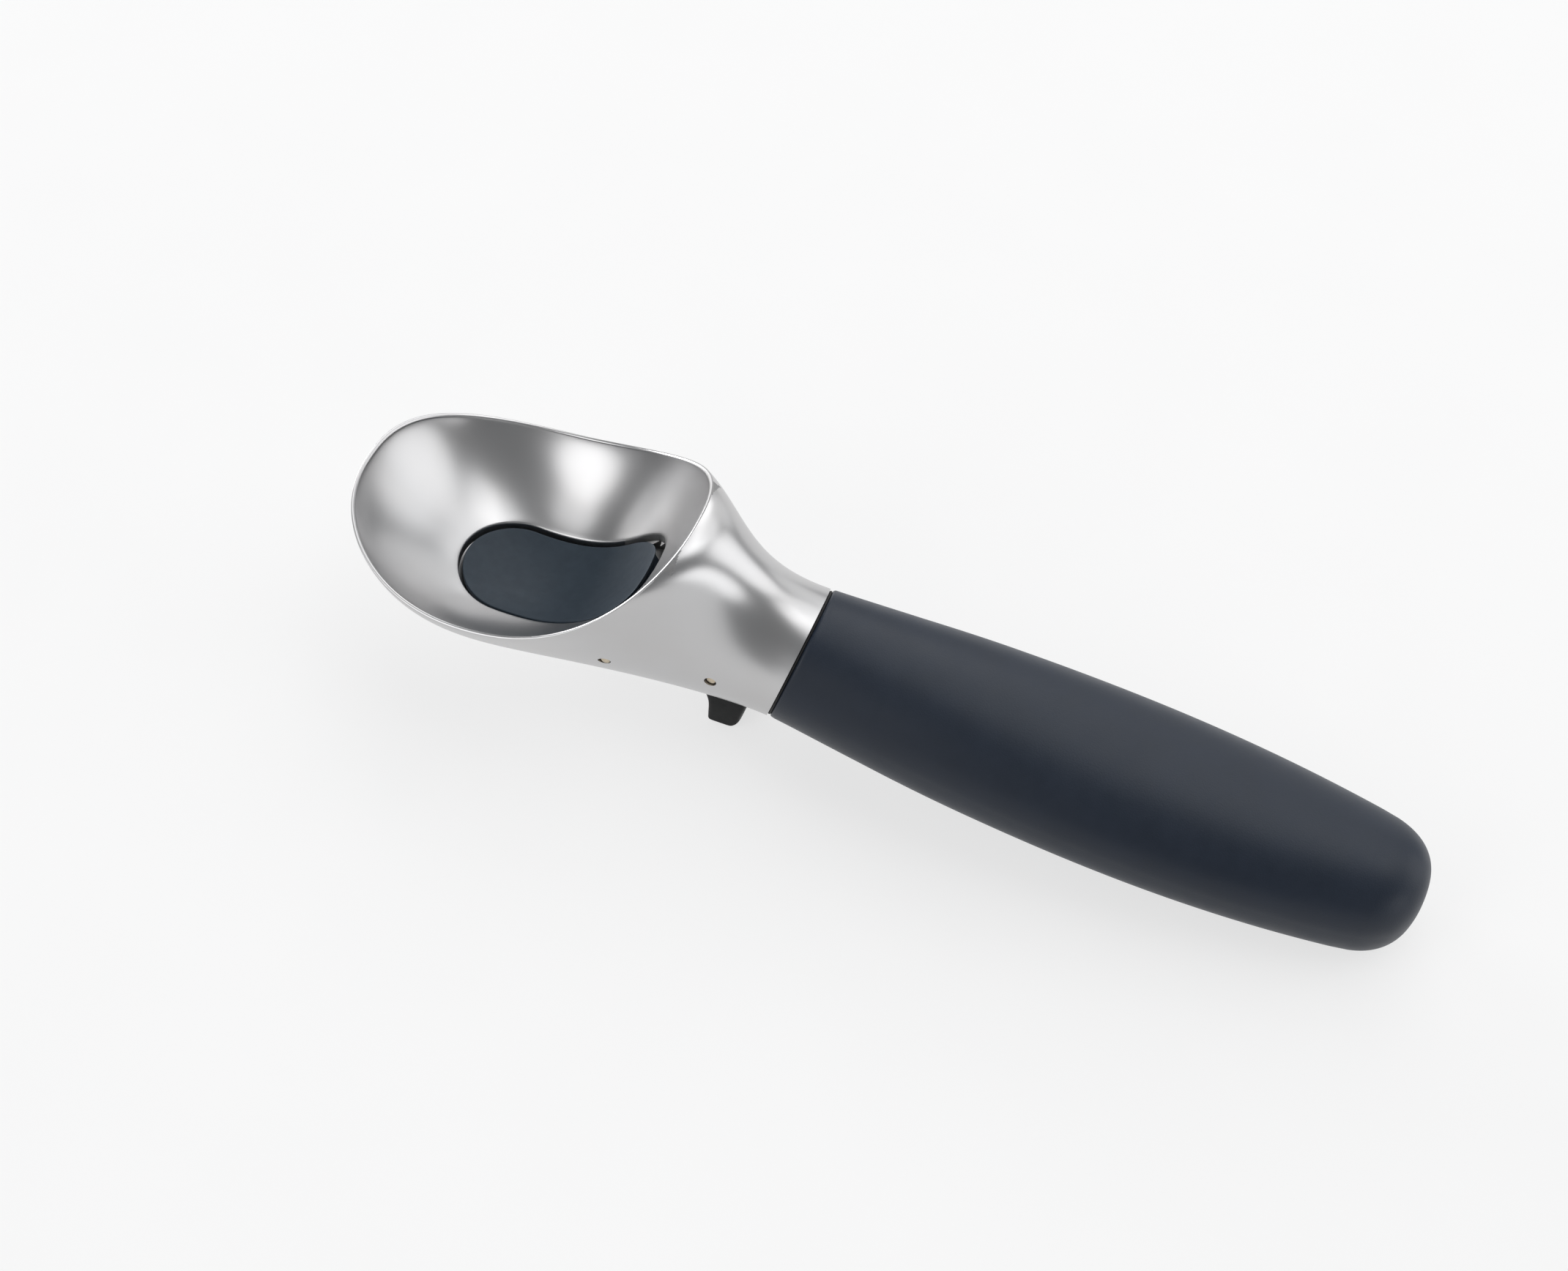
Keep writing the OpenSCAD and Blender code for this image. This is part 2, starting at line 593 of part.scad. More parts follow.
module core_screw(axis) {
    translate([axis[0], -head_seat, axis[1]]) rotate([90, 0, 0]) difference() {
        union() {
            cylinder(h = 1.8, d = screw_head);
            translate([0, 0, -screw_length]) cylinder(h = screw_length, d = screw_diameter);
        }
        for (turn = [0, 90]) rotate(turn) translate([-1.6, -0.35, 0.8]) cube([3.2, 0.7, 2]);
    }
}
module core_screws() color([0.5, 0.5, 0.52]) for (i = [0, 1]) core_screw(screw_axis(i));

scoop_head();
ejector();
ejector_pin();
trigger();
trigger_pin();
return_spring();
neck_seal();
core_left();
core_right();
core_screws();
handle_grip();
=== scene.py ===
# %% [markdown]
# Ice cream scoop, dressed for a studio picture.
# The real object is a satin-chromed casting with a flap in its bowl, a finger trigger under the
# neck that lifts the flap, and a soft rubber handle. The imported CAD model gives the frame: where
# every piece is and which body it moves with. This script adds the looks around it.

import bpy
import numpy as np
from mathutils import Matrix


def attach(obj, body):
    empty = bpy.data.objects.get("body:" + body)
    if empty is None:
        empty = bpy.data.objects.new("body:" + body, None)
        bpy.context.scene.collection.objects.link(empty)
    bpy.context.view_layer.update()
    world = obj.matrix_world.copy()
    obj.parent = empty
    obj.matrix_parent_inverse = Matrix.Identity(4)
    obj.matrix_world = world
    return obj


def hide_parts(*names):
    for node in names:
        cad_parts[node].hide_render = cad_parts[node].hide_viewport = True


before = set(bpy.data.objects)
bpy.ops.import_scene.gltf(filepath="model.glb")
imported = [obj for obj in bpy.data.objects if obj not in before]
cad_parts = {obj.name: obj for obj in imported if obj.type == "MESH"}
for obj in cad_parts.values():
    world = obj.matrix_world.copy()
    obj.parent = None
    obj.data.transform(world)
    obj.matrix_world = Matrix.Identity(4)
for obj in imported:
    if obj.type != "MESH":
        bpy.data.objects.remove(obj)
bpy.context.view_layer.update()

MM = 0.001
print("CAD pieces:", sorted(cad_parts))

# %% [markdown]
# The camera comes first, because every later choice is judged through it. It was fitted to the
# outline of the scoop and to the three printed sizes, so it is written down as a place and three
# directions. It looks down at about 52 degrees, from the side of the handle's near edge.

# %% Camera
IMAGE_WIDTH = 2141
FOCAL_PIXELS = 3271.9
SENSOR_WIDTH = 36.0
CAMERA_PLACE = (0.06662, -0.26173, 0.37680)
CAMERA_RIGHT = (0.9299, 0.3654, 0.0429)
CAMERA_UP = (-0.3126, 0.7234, 0.6156)
CAMERA_BACK = (0.1939, -0.5858, 0.7869)


def placed(columns, spot):
    """The matrix that turns X, Y and Z into three directions and moves them to a spot."""
    rows = [[*(column[i] for column in columns), spot[i]] for i in range(3)]
    return Matrix(rows + [[0, 0, 0, 1]])


camera_data = bpy.data.cameras.new("studio_camera")
camera_data.sensor_fit = "HORIZONTAL"
camera_data.sensor_width = SENSOR_WIDTH
camera_data.lens = FOCAL_PIXELS / IMAGE_WIDTH * SENSOR_WIDTH
camera_data.clip_start, camera_data.clip_end = 0.01, 20
camera = bpy.data.objects.new("studio_camera", camera_data)
bpy.context.scene.collection.objects.link(camera)
camera.matrix_world = placed((CAMERA_RIGHT, CAMERA_UP, CAMERA_BACK), CAMERA_PLACE)
bpy.context.scene.camera = camera
bpy.context.scene.view_settings.view_transform = "Standard"
print("lens in mm:", round(camera_data.lens, 2))

# %% [markdown]
# The forms of the scoop are curves that a few numbers steer: straight mixes, Bezier curves, arcs
# and circles that are squared up by a power. They work on whole arrays of points at a time.

# %% Helpers for curves
def lerp(a, b, t):
    """A mix of a and b: a plus t times the way to b."""
    return a + (b - a) * t


def bezier(points, t):
    """Cubic Bezier curve: each of the four points weighted by its share of (1 - t + t) cubed."""
    p = np.asarray(points, float)
    p = p.reshape(4, *([1] * np.ndim(t)), *p.shape[1:])
    t = np.asarray(t, float)[(...,) + (None,) * (p.ndim - 1 - np.ndim(t))]
    u = 1 - t
    return u ** 3 * p[0] + 3 * u ** 2 * t * p[1] + 3 * u * t ** 2 * p[2] + t ** 3 * p[3]


def signed_power(v, n):
    """The size of v to the power n, with v's sign: it squares up a circle's sine and cosine."""
    return np.sign(v) * np.abs(v) ** n


def arc(centre, radius, start, stop, steps):
    """Points on a circle, at equal angles in degrees from start to stop."""
    angle = np.radians(np.linspace(start, stop, steps + 1))
    return np.asarray(centre) + radius * np.stack([np.cos(angle), np.sin(angle)], -1)


print("middle of a test curve:", bezier([0, 0, 1, 1], 0.5))

# %% [markdown]
# Nearly every surface here is a skin through rings of points: a casting is a loft from its rim to
# its neck, a grip is a loft along the hand. One helper turns an array of rings into a closed mesh,
# so each piece only has to say where its points are.

# %% Helper for skins
def mesh_object(name, points, faces, smooth_angle=35):
    """An object at the origin from points in mm and faces, smooth but for edges past an angle."""
    mesh = bpy.data.meshes.new(name)
    mesh.from_pydata((np.asarray(points, float) * MM).tolist(), [], faces)
    mesh.update()
    piece = bpy.data.objects.new(name, mesh)
    bpy.context.scene.collection.objects.link(piece)
    soften(piece, smooth_angle)
    return piece


def soften(piece, smooth_angle=35):
    """Smooth shading, kept sharp where two faces meet at more than the angle in degrees."""
    mesh = piece.data
    mesh.polygons.foreach_set("use_smooth", np.ones(len(mesh.polygons), bool))
    mesh.set_sharp_from_angle(angle=np.radians(smooth_angle))


def ringed(name, first, rings, last, smooth_angle=35):
    """A closed skin: a pole, rings of equal count, and another pole. Seen from outside the first
    pole, each ring runs counter-clockwise, which makes all faces point outwards."""
    rings = np.asarray(rings, float)
    rows, count = rings.shape[:2]
    points = np.vstack([[first], rings.reshape(-1, 3), [last]])
    here = np.arange(count)
    there = (here + 1) % count
    start = 1 + count * np.arange(rows - 1)[:, None]
    quads = np.stack([start + there, start + here, start + here + count,
                      start + there + count], -1)
    tail = 1 + count * (rows - 1)
    faces = np.stack([0 * here, 1 + here, 1 + there], -1).tolist()
    faces += quads.reshape(-1, 4).tolist()
    faces += np.stack([0 * here + len(points) - 1, tail + there, tail + here], -1).tolist()
    return mesh_object(name, points, faces, smooth_angle)


print("skins are made by ringed")

# %% [markdown]
# The parts of the mechanism are moulded or turned across the scoop, so each is a side view that is
# carried from one side to the other. A round bar is the same with a circle as its side view.

# %% Helpers for prisms and rods
def prism(name, outline, low, high):
    """A side view in X and Z carried along Y from low to high, with a face on each end."""
    outline = np.asarray(outline, float)
    x, z = outline.T
    if np.sum(x * np.roll(z, -1) - z * np.roll(x, -1)) < 0:
        outline = outline[::-1]
    count = len(outline)
    sides = [np.insert(outline, 1, y, axis=1) for y in (low, high)]
    here = np.arange(count)
    there = (here + 1) % count
    faces = np.stack([here, there, there + count, here + count], -1).tolist()
    faces += [here[::-1].tolist(), (here + count).tolist()]
    faces = [face[::-1] for face in faces]
    return mesh_object(name, np.vstack(sides), faces)


def rod(name, axis, radius, low, high, steps=64):
    """A round bar along Y: a circle as the side view of a prism."""
    return prism(name, arc(axis, radius, 0, 360, steps)[:-1], low, high)


print("bars are made by prism and rod")

# %% [markdown]
# Holes and joined forms come from booleans, and broken edges from a bevel, as a cutter and a
# tumbling drum make them. Each result is put into the mesh at once, so no modifier is left.

# %% Helpers for cutting and joining
def bake(piece):
    """Puts what the modifiers give into the mesh, so that the piece stands as it is."""
    evaluated = piece.evaluated_get(bpy.context.evaluated_depsgraph_get())
    mesh = bpy.data.meshes.new_from_object(evaluated)
    piece.modifiers.clear()
    piece.data = mesh


def combine(piece, tools, operation):
    """Joins or cuts the piece with each tool by a boolean, and takes the tools away."""
    for tool in tools:
        change = piece.modifiers.new("combine", "BOOLEAN")
        change.operation, change.object, change.solver = operation, tool, "EXACT"
        bake(piece)
        bpy.data.objects.remove(tool)
    soften(piece)


def bevelled(piece, width, segments=3):
    """Rounds the edges that are sharper than an angle, as a mould or a tumbling drum does."""
    change = piece.modifiers.new("bevel", "BEVEL")
    change.width, change.segments = width * MM, segments
    change.limit_method, change.angle_limit = "ANGLE", np.radians(40)
    change.use_clamp_overlap = True
    bake(piece)
    soften(piece, 40)
    return piece


print("cuts and joints are made by combine")

# %% [markdown]
# The head's sizes in millimetres, X along the scoop and Z up. Nearly all are the numbers that the
# CAD model is built from, so a surface made here lies where the solid lies. The lip and the inside
# of the bowl differ a little: the lip is finer and the wall straighter, as the highlights in the
# photograph show.

# %% Sizes of the head
LIP_X, END_X = -105.0, 105.0
BOWL_LENGTH, BOWL_WIDTH = 67.6, 52.8
BOWL_X = LIP_X + BOWL_LENGTH / 2
LIP_HEIGHT, BACK_HEIGHT = 38.0, 50.0
RIM_DIP, DIP_LEAN, DIP_FLATNESS, DIP_FADE = 13.1, 0.1, 0.17, 1.3
SQUARENESS, RIM_WALL, LIP_CROWN = 2.36, 0.75, 0.35
FLOOR_HEIGHT, FLOOR_CURVE, WALL_CURVE = 16.4, 2.05, 1.15
SEAM_BOTTOM, SEAM_TOP = np.array([-20.2, 8.6]), np.array([-13.6, 35.0])
SEAM_MIDDLE = (SEAM_BOTTOM + SEAM_TOP) / 2
NECK_WIDTH = 26.2
EJECTOR_AXIS, TRIGGER_AXIS = np.array([-48.9, 23.3]), np.array([-29.35, 22.1])
BORE_RADIUS = 1.05
AROUND = 288

turn = np.linspace(0, 2 * np.pi, AROUND, endpoint=False)
print("bowl centre at x", BOWL_X, "mm")

# %% [markdown]
# The bowl is a soft oval in plan. In side view its rim dips between the lip and the back corner,
# and its floor is round. Both could be drawn as curves, but two formulas give the height over any
# point, which the flap and its seat need later.

# %% Formulas of the bowl
def dip_share(t):
    """How much of the rim's dip there is at a share of the way back: a parabola, times one plus a
    slant and a square, so that it is deeper behind its middle and steeper near its two ends."""
    b = 2 * t - 1
    return 4 * t * (1 - t) * (1 + DIP_LEAN * b + DIP_FLATNESS * b * b)


def rim_height(x):
    """The rim in side view: a straight line from lip to back corner, less the dip."""
    t = (x - LIP_X) / BOWL_LENGTH
    return lerp(LIP_HEIGHT, BACK_HEIGHT, t) - RIM_DIP * dip_share(t)


def bowl_level(share, edge_x):
    """The bowl's height at a share of the way from its middle to the rim: the rise is one less
    a root of one less the share to a power, so the floor is round and the wall ends upright."""
    rise = 1 - (1 - share ** FLOOR_CURVE) ** (1 / WALL_CURVE)
    return FLOOR_HEIGHT + (rim_height(edge_x) - FLOOR_HEIGHT) * rise


def floor_level(x, y):
    """The bowl's height over a point in plan, from the oval through that point."""
    half_x, half_y = BOWL_LENGTH / 2 - RIM_WALL, BOWL_WIDTH / 2 - RIM_WALL
    along, across = np.abs((x - BOWL_X) / half_x), np.abs(y / half_y)
    share = (along ** SQUARENESS + across ** SQUARENESS) ** (1 / SQUARENESS)
    share = np.clip(share, 0.001, 1)
    return bowl_level(share, BOWL_X + (x - BOWL_X) / share)


print("floor under the bowl's middle:", round(float(floor_level(BOWL_X, 0.0)), 2), "mm")

# %% [markdown]
# The head is one casting, so it is one skin. Outside, each ring is a rounded oval that leans from
# the underside to the shoulder, from the neck's end to the rim. The two edges that it leans
# between are Bezier curves in side view, and a third one gives half the width.

# %% Formulas of the outside and the lip
UNDERSIDE = [(LIP_X, LIP_HEIGHT), (-104.5, 8.4), (-46.86, 9.8), tuple(SEAM_BOTTOM)]
SHOULDER = [(-37.4, BACK_HEIGHT), (-29.4, 49), (-27.7, 38.8), tuple(SEAM_TOP)]
HALF_WIDTHS = [BOWL_WIDTH / 2, BOWL_WIDTH * 0.422, BOWL_WIDTH * 0.211, NECK_WIDTH / 2]


def skin_rings(share):
    """Rings of the outer skin. At each share of the way from rim to neck, the underside and the
    shoulder are points on two Bezier curves, and the ring between them is an oval whose height
    dips in the middle as the rim does."""
    s = share[:, None]
    power = 2 / lerp(2, SQUARENESS, (1 - s) ** 2)
    across = (1 - signed_power(np.cos(turn), power)) / 2
    side = lerp(bezier(UNDERSIDE, s), bezier(SHOULDER, s), across[..., None])
    sink = RIM_DIP * (1 - s) ** DIP_FADE * dip_share(across)
    width = bezier(HALF_WIDTHS, s) * signed_power(np.sin(turn), power)
    return np.stack([side[..., 0], width, side[..., 1] - sink], -1)


def rim_outline(inset):
    """The rim in plan, drawn in by an inset."""
    return (BOWL_X - (BOWL_LENGTH / 2 - inset) * signed_power(np.cos(turn), 2 / SQUARENESS),
            (BOWL_WIDTH / 2 - inset) * signed_power(np.sin(turn), 2 / SQUARENESS))


def lip_rings(steps=11):
    """Rings over the lip: half an oval from the outer edge to the inner one."""
    rings = []
    for angle in np.linspace(0, np.pi, steps)[1:-1]:
        x, y = rim_outline(RIM_WALL / 2 * (1 - np.cos(angle)))
        rings.append(np.stack([x, y, rim_height(x) + LIP_CROWN * np.sin(angle)], -1))
    return np.array(rings)


edge_x, edge_y = rim_outline(RIM_WALL)
edge_angle = np.arctan2(edge_y, edge_x - BOWL_X)
edge_reach = np.hypot(edge_y, edge_x - BOWL_X)
print("inner edge reaches", edge_reach.min().round(1), "to", edge_reach.max().round(1), "mm")

# %% [markdown]
# The flap lies in a sunk seat of the bowl's floor. The two share one outline in plan, which is
# grown by the gap for the seat, so the gap round the flap is even by construction. Beside the flap
# it is a little finer than the CAD model's. Behind it the gap is wider, because the flap's back
# end swings down there.

# %% Formulas of the flap's seat
FLAP_FRONT, FLAP_BACK, FLAP_HALF, FLAP_CORNER = -85.6, -48.0, 10.15, 7.0
FLAP_RECESS, FLAP_DEPTH, POCKET_DEPTH = 0.3, 1.9, 2.1
FLAP_GAP, FLAP_BACK_GAP = 0.75, 2.05


def flap_outline(gap, back_gap):
    """The flap's outline in plan, grown by a gap: a half circle in front and two round corners."""
    half, front, end = FLAP_HALF + gap, FLAP_FRONT - gap, FLAP_BACK + back_gap
    r = FLAP_CORNER + gap
    side = np.linspace(front + half, end - r, 60)[1:-1]
    return np.vstack([arc((front + half, 0), half, 90, 270, 400),
                      np.stack([side, 0 * side - half], -1),
                      arc((end - r, r - half), r, -90, 0, 200),
                      arc((end - r, half - r), r, 0, 90, 200),
                      np.stack([side[::-1], 0 * side + half], -1)])


def seat_reach(gap, back_gap):
    """How far the flap's outline lies from the bowl's middle in each ring point's direction."""
    x, y = flap_outline(gap, back_gap).T
    angle = np.unwrap(np.arctan2(y, x - BOWL_X))
    reach = np.hypot(y, x - BOWL_X)
    order = np.argsort(angle)
    return np.interp(edge_angle, angle[order], reach[order], period=2 * np.pi)


def floor_ring(reach, depth):
    """A ring at a distance from the bowl's middle in each direction, a depth under its floor."""
    x, y = BOWL_X + reach * np.cos(edge_angle), reach * np.sin(edge_angle)
    return np.stack([x, y, floor_level(x, y) - depth], -1)


seat_wall = seat_reach(FLAP_GAP, FLAP_BACK_GAP)
print("seat reaches", seat_wall.min().round(1), "to", seat_wall.max().round(1), "mm")

# %% [markdown]
# Now the skin is put together. Over the lip it turns in, runs down the bowl, rounds the edge of
# the flap's seat and closes at the seat's middle. One loft keeps the thin lip free of seams, which
# a boolean of two bodies would not.

# %% Skin of the head
SKIN_RINGS, BOWL_RINGS = 110, 46
EDGE_ROUND = 0.35
SEAT_SHARES = (1, 0.985, 0.9, 0.7, 0.5, 0.3, 0.12)


def bowl_rings(stop_reach, steps):
    """Rings down the bowl to an outline. The share of the reach is a power of a sine whose angle
    runs down in equal steps, which puts the rings close together at the upright wall."""
    last = np.arcsin(np.clip(stop_reach / edge_reach, 0, 1) ** (FLOOR_CURVE / 2))
    rings = []
    for k in np.linspace(0, 1, steps):
        share = np.sin(lerp(np.pi / 2, last, k)) ** (2 / FLOOR_CURVE)
        x, y = BOWL_X + (edge_x - BOWL_X) * share, edge_y * share
        rings.append(np.stack([x, y, bowl_level(np.clip(share, 0, 1), edge_x)], -1))
    return np.array(rings)


def rounded_edge(gap, back_gap, radius, top, outward, steps=6):
    """Rings round the edge of the flap or of its seat: a quarter circle from the flat to the wall.
    The circle lies outside the outline for the seat, and inside it for the flap."""
    rings = []
    for angle in np.linspace(0, np.pi / 2, steps):
        step = outward * radius * (1 - np.sin(angle))
        reach = seat_reach(gap + step, back_gap + step)
        rings.append(floor_ring(reach, top + radius * (1 - np.cos(angle))))
    return np.array(rings)


seat_mouth = seat_reach(FLAP_GAP + EDGE_ROUND, FLAP_BACK_GAP + EDGE_ROUND)
seat_edge = rounded_edge(FLAP_GAP, FLAP_BACK_GAP, EDGE_ROUND, 0, 1)
seat_floor = [floor_ring(seat_wall * share, POCKET_DEPTH) for share in SEAT_SHARES]
head = ringed("scoop_head_casting", (SEAM_MIDDLE[0], 0, SEAM_MIDDLE[1]),
              np.vstack([skin_rings(np.linspace(1, 0, SKIN_RINGS)), lip_rings(),
                         bowl_rings(seat_mouth, BOWL_RINGS), seat_edge[1:], seat_floor]),
              (BOWL_X, 0, FLOOR_HEIGHT - POCKET_DEPTH))
print("head skin:", len(head.data.polygons), "faces")

# %% [markdown]
# The mechanism sits in a channel that is open below. The channel, the room that the flap's back
# end swings through and the holes for the two pins are cut out of the skin by booleans, because
# their edges are crisp on the real casting too.

# %% Cuts in the head
CHANNEL_HALF, CHANNEL_ROOF, CHANNEL_FRONT, CHANNEL_BACK = 6.5, 27.5, -57.9, -21.5
CHANNEL_FOOT = -1
ROOF_FOOT, ROOF_STEP = (4.4, 5.6), 5.4
SWING_PLAY, SWING_CORE, SWING_START, SWING_STOP = 0.35, 2.7, 52, 146
HOLE_HALF, MOUTH_DEPTH, MOUTH_GAP = 26, 0.8, 0.12
PIN_LENGTH = {"ejector": 34.4, "trigger": 26.0}

flap_edge = flap_outline(0, 0)
flap_edge = flap_edge[flap_edge[:, 0] > EJECTOR_AXIS[0] - 2]
flap_rise = floor_level(*flap_edge.T) - FLAP_RECESS - EJECTOR_AXIS[1]
swing = np.hypot(flap_edge[:, 0] - EJECTOR_AXIS[0], flap_rise).max() + SWING_PLAY
roof_x = np.linspace(CHANNEL_FRONT, EJECTOR_AXIS[0] + 1, 12)
channel = np.vstack([
    [(CHANNEL_FRONT, CHANNEL_FOOT)],
    np.stack([roof_x, floor_level(roof_x, 0 * roof_x) - FLAP_RECESS], -1),
    [EJECTOR_AXIS + ROOF_FOOT, (EJECTOR_AXIS[0] + ROOF_STEP, CHANNEL_ROOF),
     (CHANNEL_BACK, CHANNEL_ROOF), (CHANNEL_BACK, CHANNEL_FOOT)]])
cuts = [prism("channel_cut", channel, -CHANNEL_HALF, CHANNEL_HALF)]
# Two rooms for the flap's back end, each with its radius, its half width and its last angle: a
# deep one in the middle, and a shallow one that reaches its corners.
for outer, half, last in ((swing, 8.0, 106), (5.6, 9.6, 120)):
    room = np.vstack([arc(EJECTOR_AXIS, outer, SWING_START, last, 24),
                      arc(EJECTOR_AXIS, SWING_CORE, SWING_STOP, SWING_START, 16)])
    cuts.append(prism("swing_cut", room, -half, half))
for axis, name in ((EJECTOR_AXIS, "ejector"), (TRIGGER_AXIS, "trigger")):
    cuts.append(rod("pin_hole", axis, BORE_RADIUS, -HOLE_HALF, HOLE_HALF))
    for side in (-1, 1):
        ends = sorted((side * (PIN_LENGTH[name] / 2 - MOUTH_DEPTH), side * HOLE_HALF))
        cuts.append(rod("pin_mouth", axis, BORE_RADIUS + MOUTH_GAP, *ends))
combine(head, cuts, "DIFFERENCE")
print("head with its cuts:", len(head.data.polygons), "faces")

# %% [markdown]
# Inside the handle the casting goes on as a flat tapered tang. It never shows, but it is part of
# the object, so it is here as a plain bar with rounded edges and two holes.

# %% Tang
END_LEVEL = 10.74
SLOPE = (END_LEVEL - SEAM_MIDDLE[1]) / (END_X - SEAM_MIDDLE[0])
TANG_LENGTH, TANG_HALF_WIDTH = 92.0, 3.5
TANG_ROOT, TANG_TIP = (0, 6.5), (0, 4)
SCREW_PLACES, SCREW_HOLE = (24, 68), 1.9

tang_start = np.array([SEAM_BOTTOM[0] + 2, SEAM_MIDDLE[1] - 0.5])
tang_stop = np.array([SEAM_MIDDLE[0] + TANG_LENGTH, SEAM_MIDDLE[1] + 0.3 + SLOPE * TANG_LENGTH])
tang = prism("scoop_head_tang", [tang_start + TANG_ROOT, tang_stop + TANG_TIP,
                                 tang_stop - TANG_TIP, tang_start - TANG_ROOT],
             -TANG_HALF_WIDTH, TANG_HALF_WIDTH)
screw_axes = [np.array([x, SEAM_MIDDLE[1] + SLOPE * (x - SEAM_MIDDLE[0])])
              for x in (SEAM_MIDDLE[0] + place for place in SCREW_PLACES)]
combine(tang, [rod("screw_hole", axis, SCREW_HOLE, -5, 5) for axis in screw_axes], "DIFFERENCE")
bevelled(tang, 0.6)
print("tang ends at", tang_stop.round(1))

# %% [markdown]
# The flap follows the floor of the bowl at a constant depth, like a lid cut out of the same bowl.
# It is a loft too: from the middle of its top, over its rounded edge, to the middle of its
# underside.

# %% Flap
FLAP_ROUND, FLAP_LOW_ROUND = 0.3, 0.25

top_edge = rounded_edge(0, 0, FLAP_ROUND, FLAP_RECESS, -1)
low_edge = rounded_edge(0, 0, FLAP_LOW_ROUND, -FLAP_DEPTH, -1)[::-1]
# The low edge was made above the floor, so it is mirrored to the same distance below.
low_edge[..., 2] = 2 * floor_level(low_edge[..., 0], low_edge[..., 1]) - low_edge[..., 2]
top_reach = seat_reach(-FLAP_ROUND, -FLAP_ROUND)
low_reach = seat_reach(-FLAP_LOW_ROUND, -FLAP_LOW_ROUND)
top_rings = [floor_ring(top_reach * k, FLAP_RECESS) for k in np.linspace(0.04, 1, 36)[:-1]]
low_rings = [floor_ring(low_reach * k, FLAP_DEPTH) for k in np.linspace(1, 0.1, 8)[1:]]
flap = ringed("ejector_flap", (BOWL_X, 0, FLOOR_HEIGHT - FLAP_RECESS),
              np.vstack([top_rings, top_edge, low_edge, low_rings])[:, ::-1],
              (BOWL_X, 0, FLOOR_HEIGHT - FLAP_DEPTH))
print("flap:", len(flap.data.polygons), "faces")

# %% [markdown]
# Under the flap, and of one moulding with it, are a web, the hub on the front pin and a fork. The
# trigger's knob works in the fork. These are side views carried across the channel and joined.

# %% Lever under the flap
KNOB_SHARE, KNOB_RADIUS = 0.597, 1.65
LEVER_HUB, LEVER_HALF = 2.9, 6
FORK_LOW, FORK_HIGH = -5.4, -0.4
SLOT_HALF = KNOB_RADIUS + 0.2
JAW_HALF = SLOT_HALF + 1.7

pin_step = EJECTOR_AXIS - TRIGGER_AXIS
pin_distance = np.hypot(*pin_step)
knob_reach = pin_distance * KNOB_SHARE
fork_reach = pin_distance - knob_reach
knob_axis = TRIGGER_AXIS + pin_step * KNOB_SHARE
forward = -pin_step / pin_distance


def along_lever(points, origin, direction):
    """Points drawn along a lever, turned to lie along its direction from an origin."""
    points = np.asarray(points, float)
    sideways = np.array([-direction[1], direction[0]])
    return origin + points[:, :1] * direction + points[:, 1:] * sideways


fork = along_lever(np.vstack([
    [(0, -LEVER_HUB), (fork_reach - 1, -JAW_HALF), (fork_reach + 1.4, -JAW_HALF),
     (fork_reach + 1.6, -SLOT_HALF)],
    arc((fork_reach - 0.3, 0), SLOT_HALF, 270, 90, 24),
    [(fork_reach + 0.5, SLOT_HALF), (fork_reach + 0.2, JAW_HALF), (fork_reach - 2, JAW_HALF),
     (0, LEVER_HUB)]]), EJECTOR_AXIS, forward)
web_x = np.linspace(EJECTOR_AXIS[0] - 7.5, FLAP_BACK - 0.6, 12)
web = np.vstack([np.stack([web_x, floor_level(web_x, 0 * web_x) - FLAP_RECESS - 1.1], -1),
                 [EJECTOR_AXIS + (LEVER_HUB, 0), EJECTOR_AXIS - (LEVER_HUB, 0)]])
lever = rod("ejector_lever", EJECTOR_AXIS, LEVER_HUB, -LEVER_HALF, LEVER_HALF)
combine(lever, [prism("web", web, -LEVER_HALF, LEVER_HALF),
                prism("fork", fork, FORK_LOW, FORK_HIGH)], "UNION")
combine(lever, [rod("pin_hole", EJECTOR_AXIS, BORE_RADIUS, -8, 8)], "DIFFERENCE")
bevelled(lever, 0.15, 2)
print("fork reaches", round(fork_reach, 2), "mm to the knob at", knob_axis.round(2))

# %% [markdown]
# The pad that a finger pulls is the part of the trigger that shows, so it is a soft form: a
# rounded oblong at each height, whose front and back follow the side view, closed by a small
# rounding at the table. The tables give height and place in millimetres.

# %% Trigger pad
PAD_FRONT = [(0, -32.6), (1.5, -32.6), (5.6, -32.75), (7.7, -33.45), (9.5, -34.1), (11.5, -34.4),
             (14.1, -33.8), (22.1, -32.75)]
PAD_BACK = [(0, -26.1), (1.5, -26.0), (6.4, -24.85), (10.0, -24.25), (12.4, -24.5), (16.1, -25.4),
            (22.1, -25.9)]
PAD_SIDE = [(0, 6.4), (5.0, 6.35), (9.0, 6.1), (12.0, 6.0), (22.1, 6.0)]
PAD_MIDDLE = -29.3
PAD_ROUNDS = (0.6, 2.0, 0.5)
PAD_POWER = 0.22


def through(points, t):
    """A smooth curve through points (place, value): cubic pieces whose slope at each point is the
    mean of the slopes on its two sides."""
    place, value = np.array(points, float).T
    slope = np.diff(value) / np.diff(place)
    slope = np.concatenate([slope[:1], (slope[1:] + slope[:-1]) / 2, slope[-1:]])
    k = np.clip(np.searchsorted(place, t, side="right") - 1, 0, len(place) - 2)
    span = place[k + 1] - place[k]
    u = (t - place[k]) / span
    return ((1 + 2 * u) * (1 - u) ** 2 * value[k] + u * (1 - u) ** 2 * span * slope[k]
            + u ** 2 * (3 - 2 * u) * value[k + 1] + u ** 2 * (u - 1) * span * slope[k + 1])


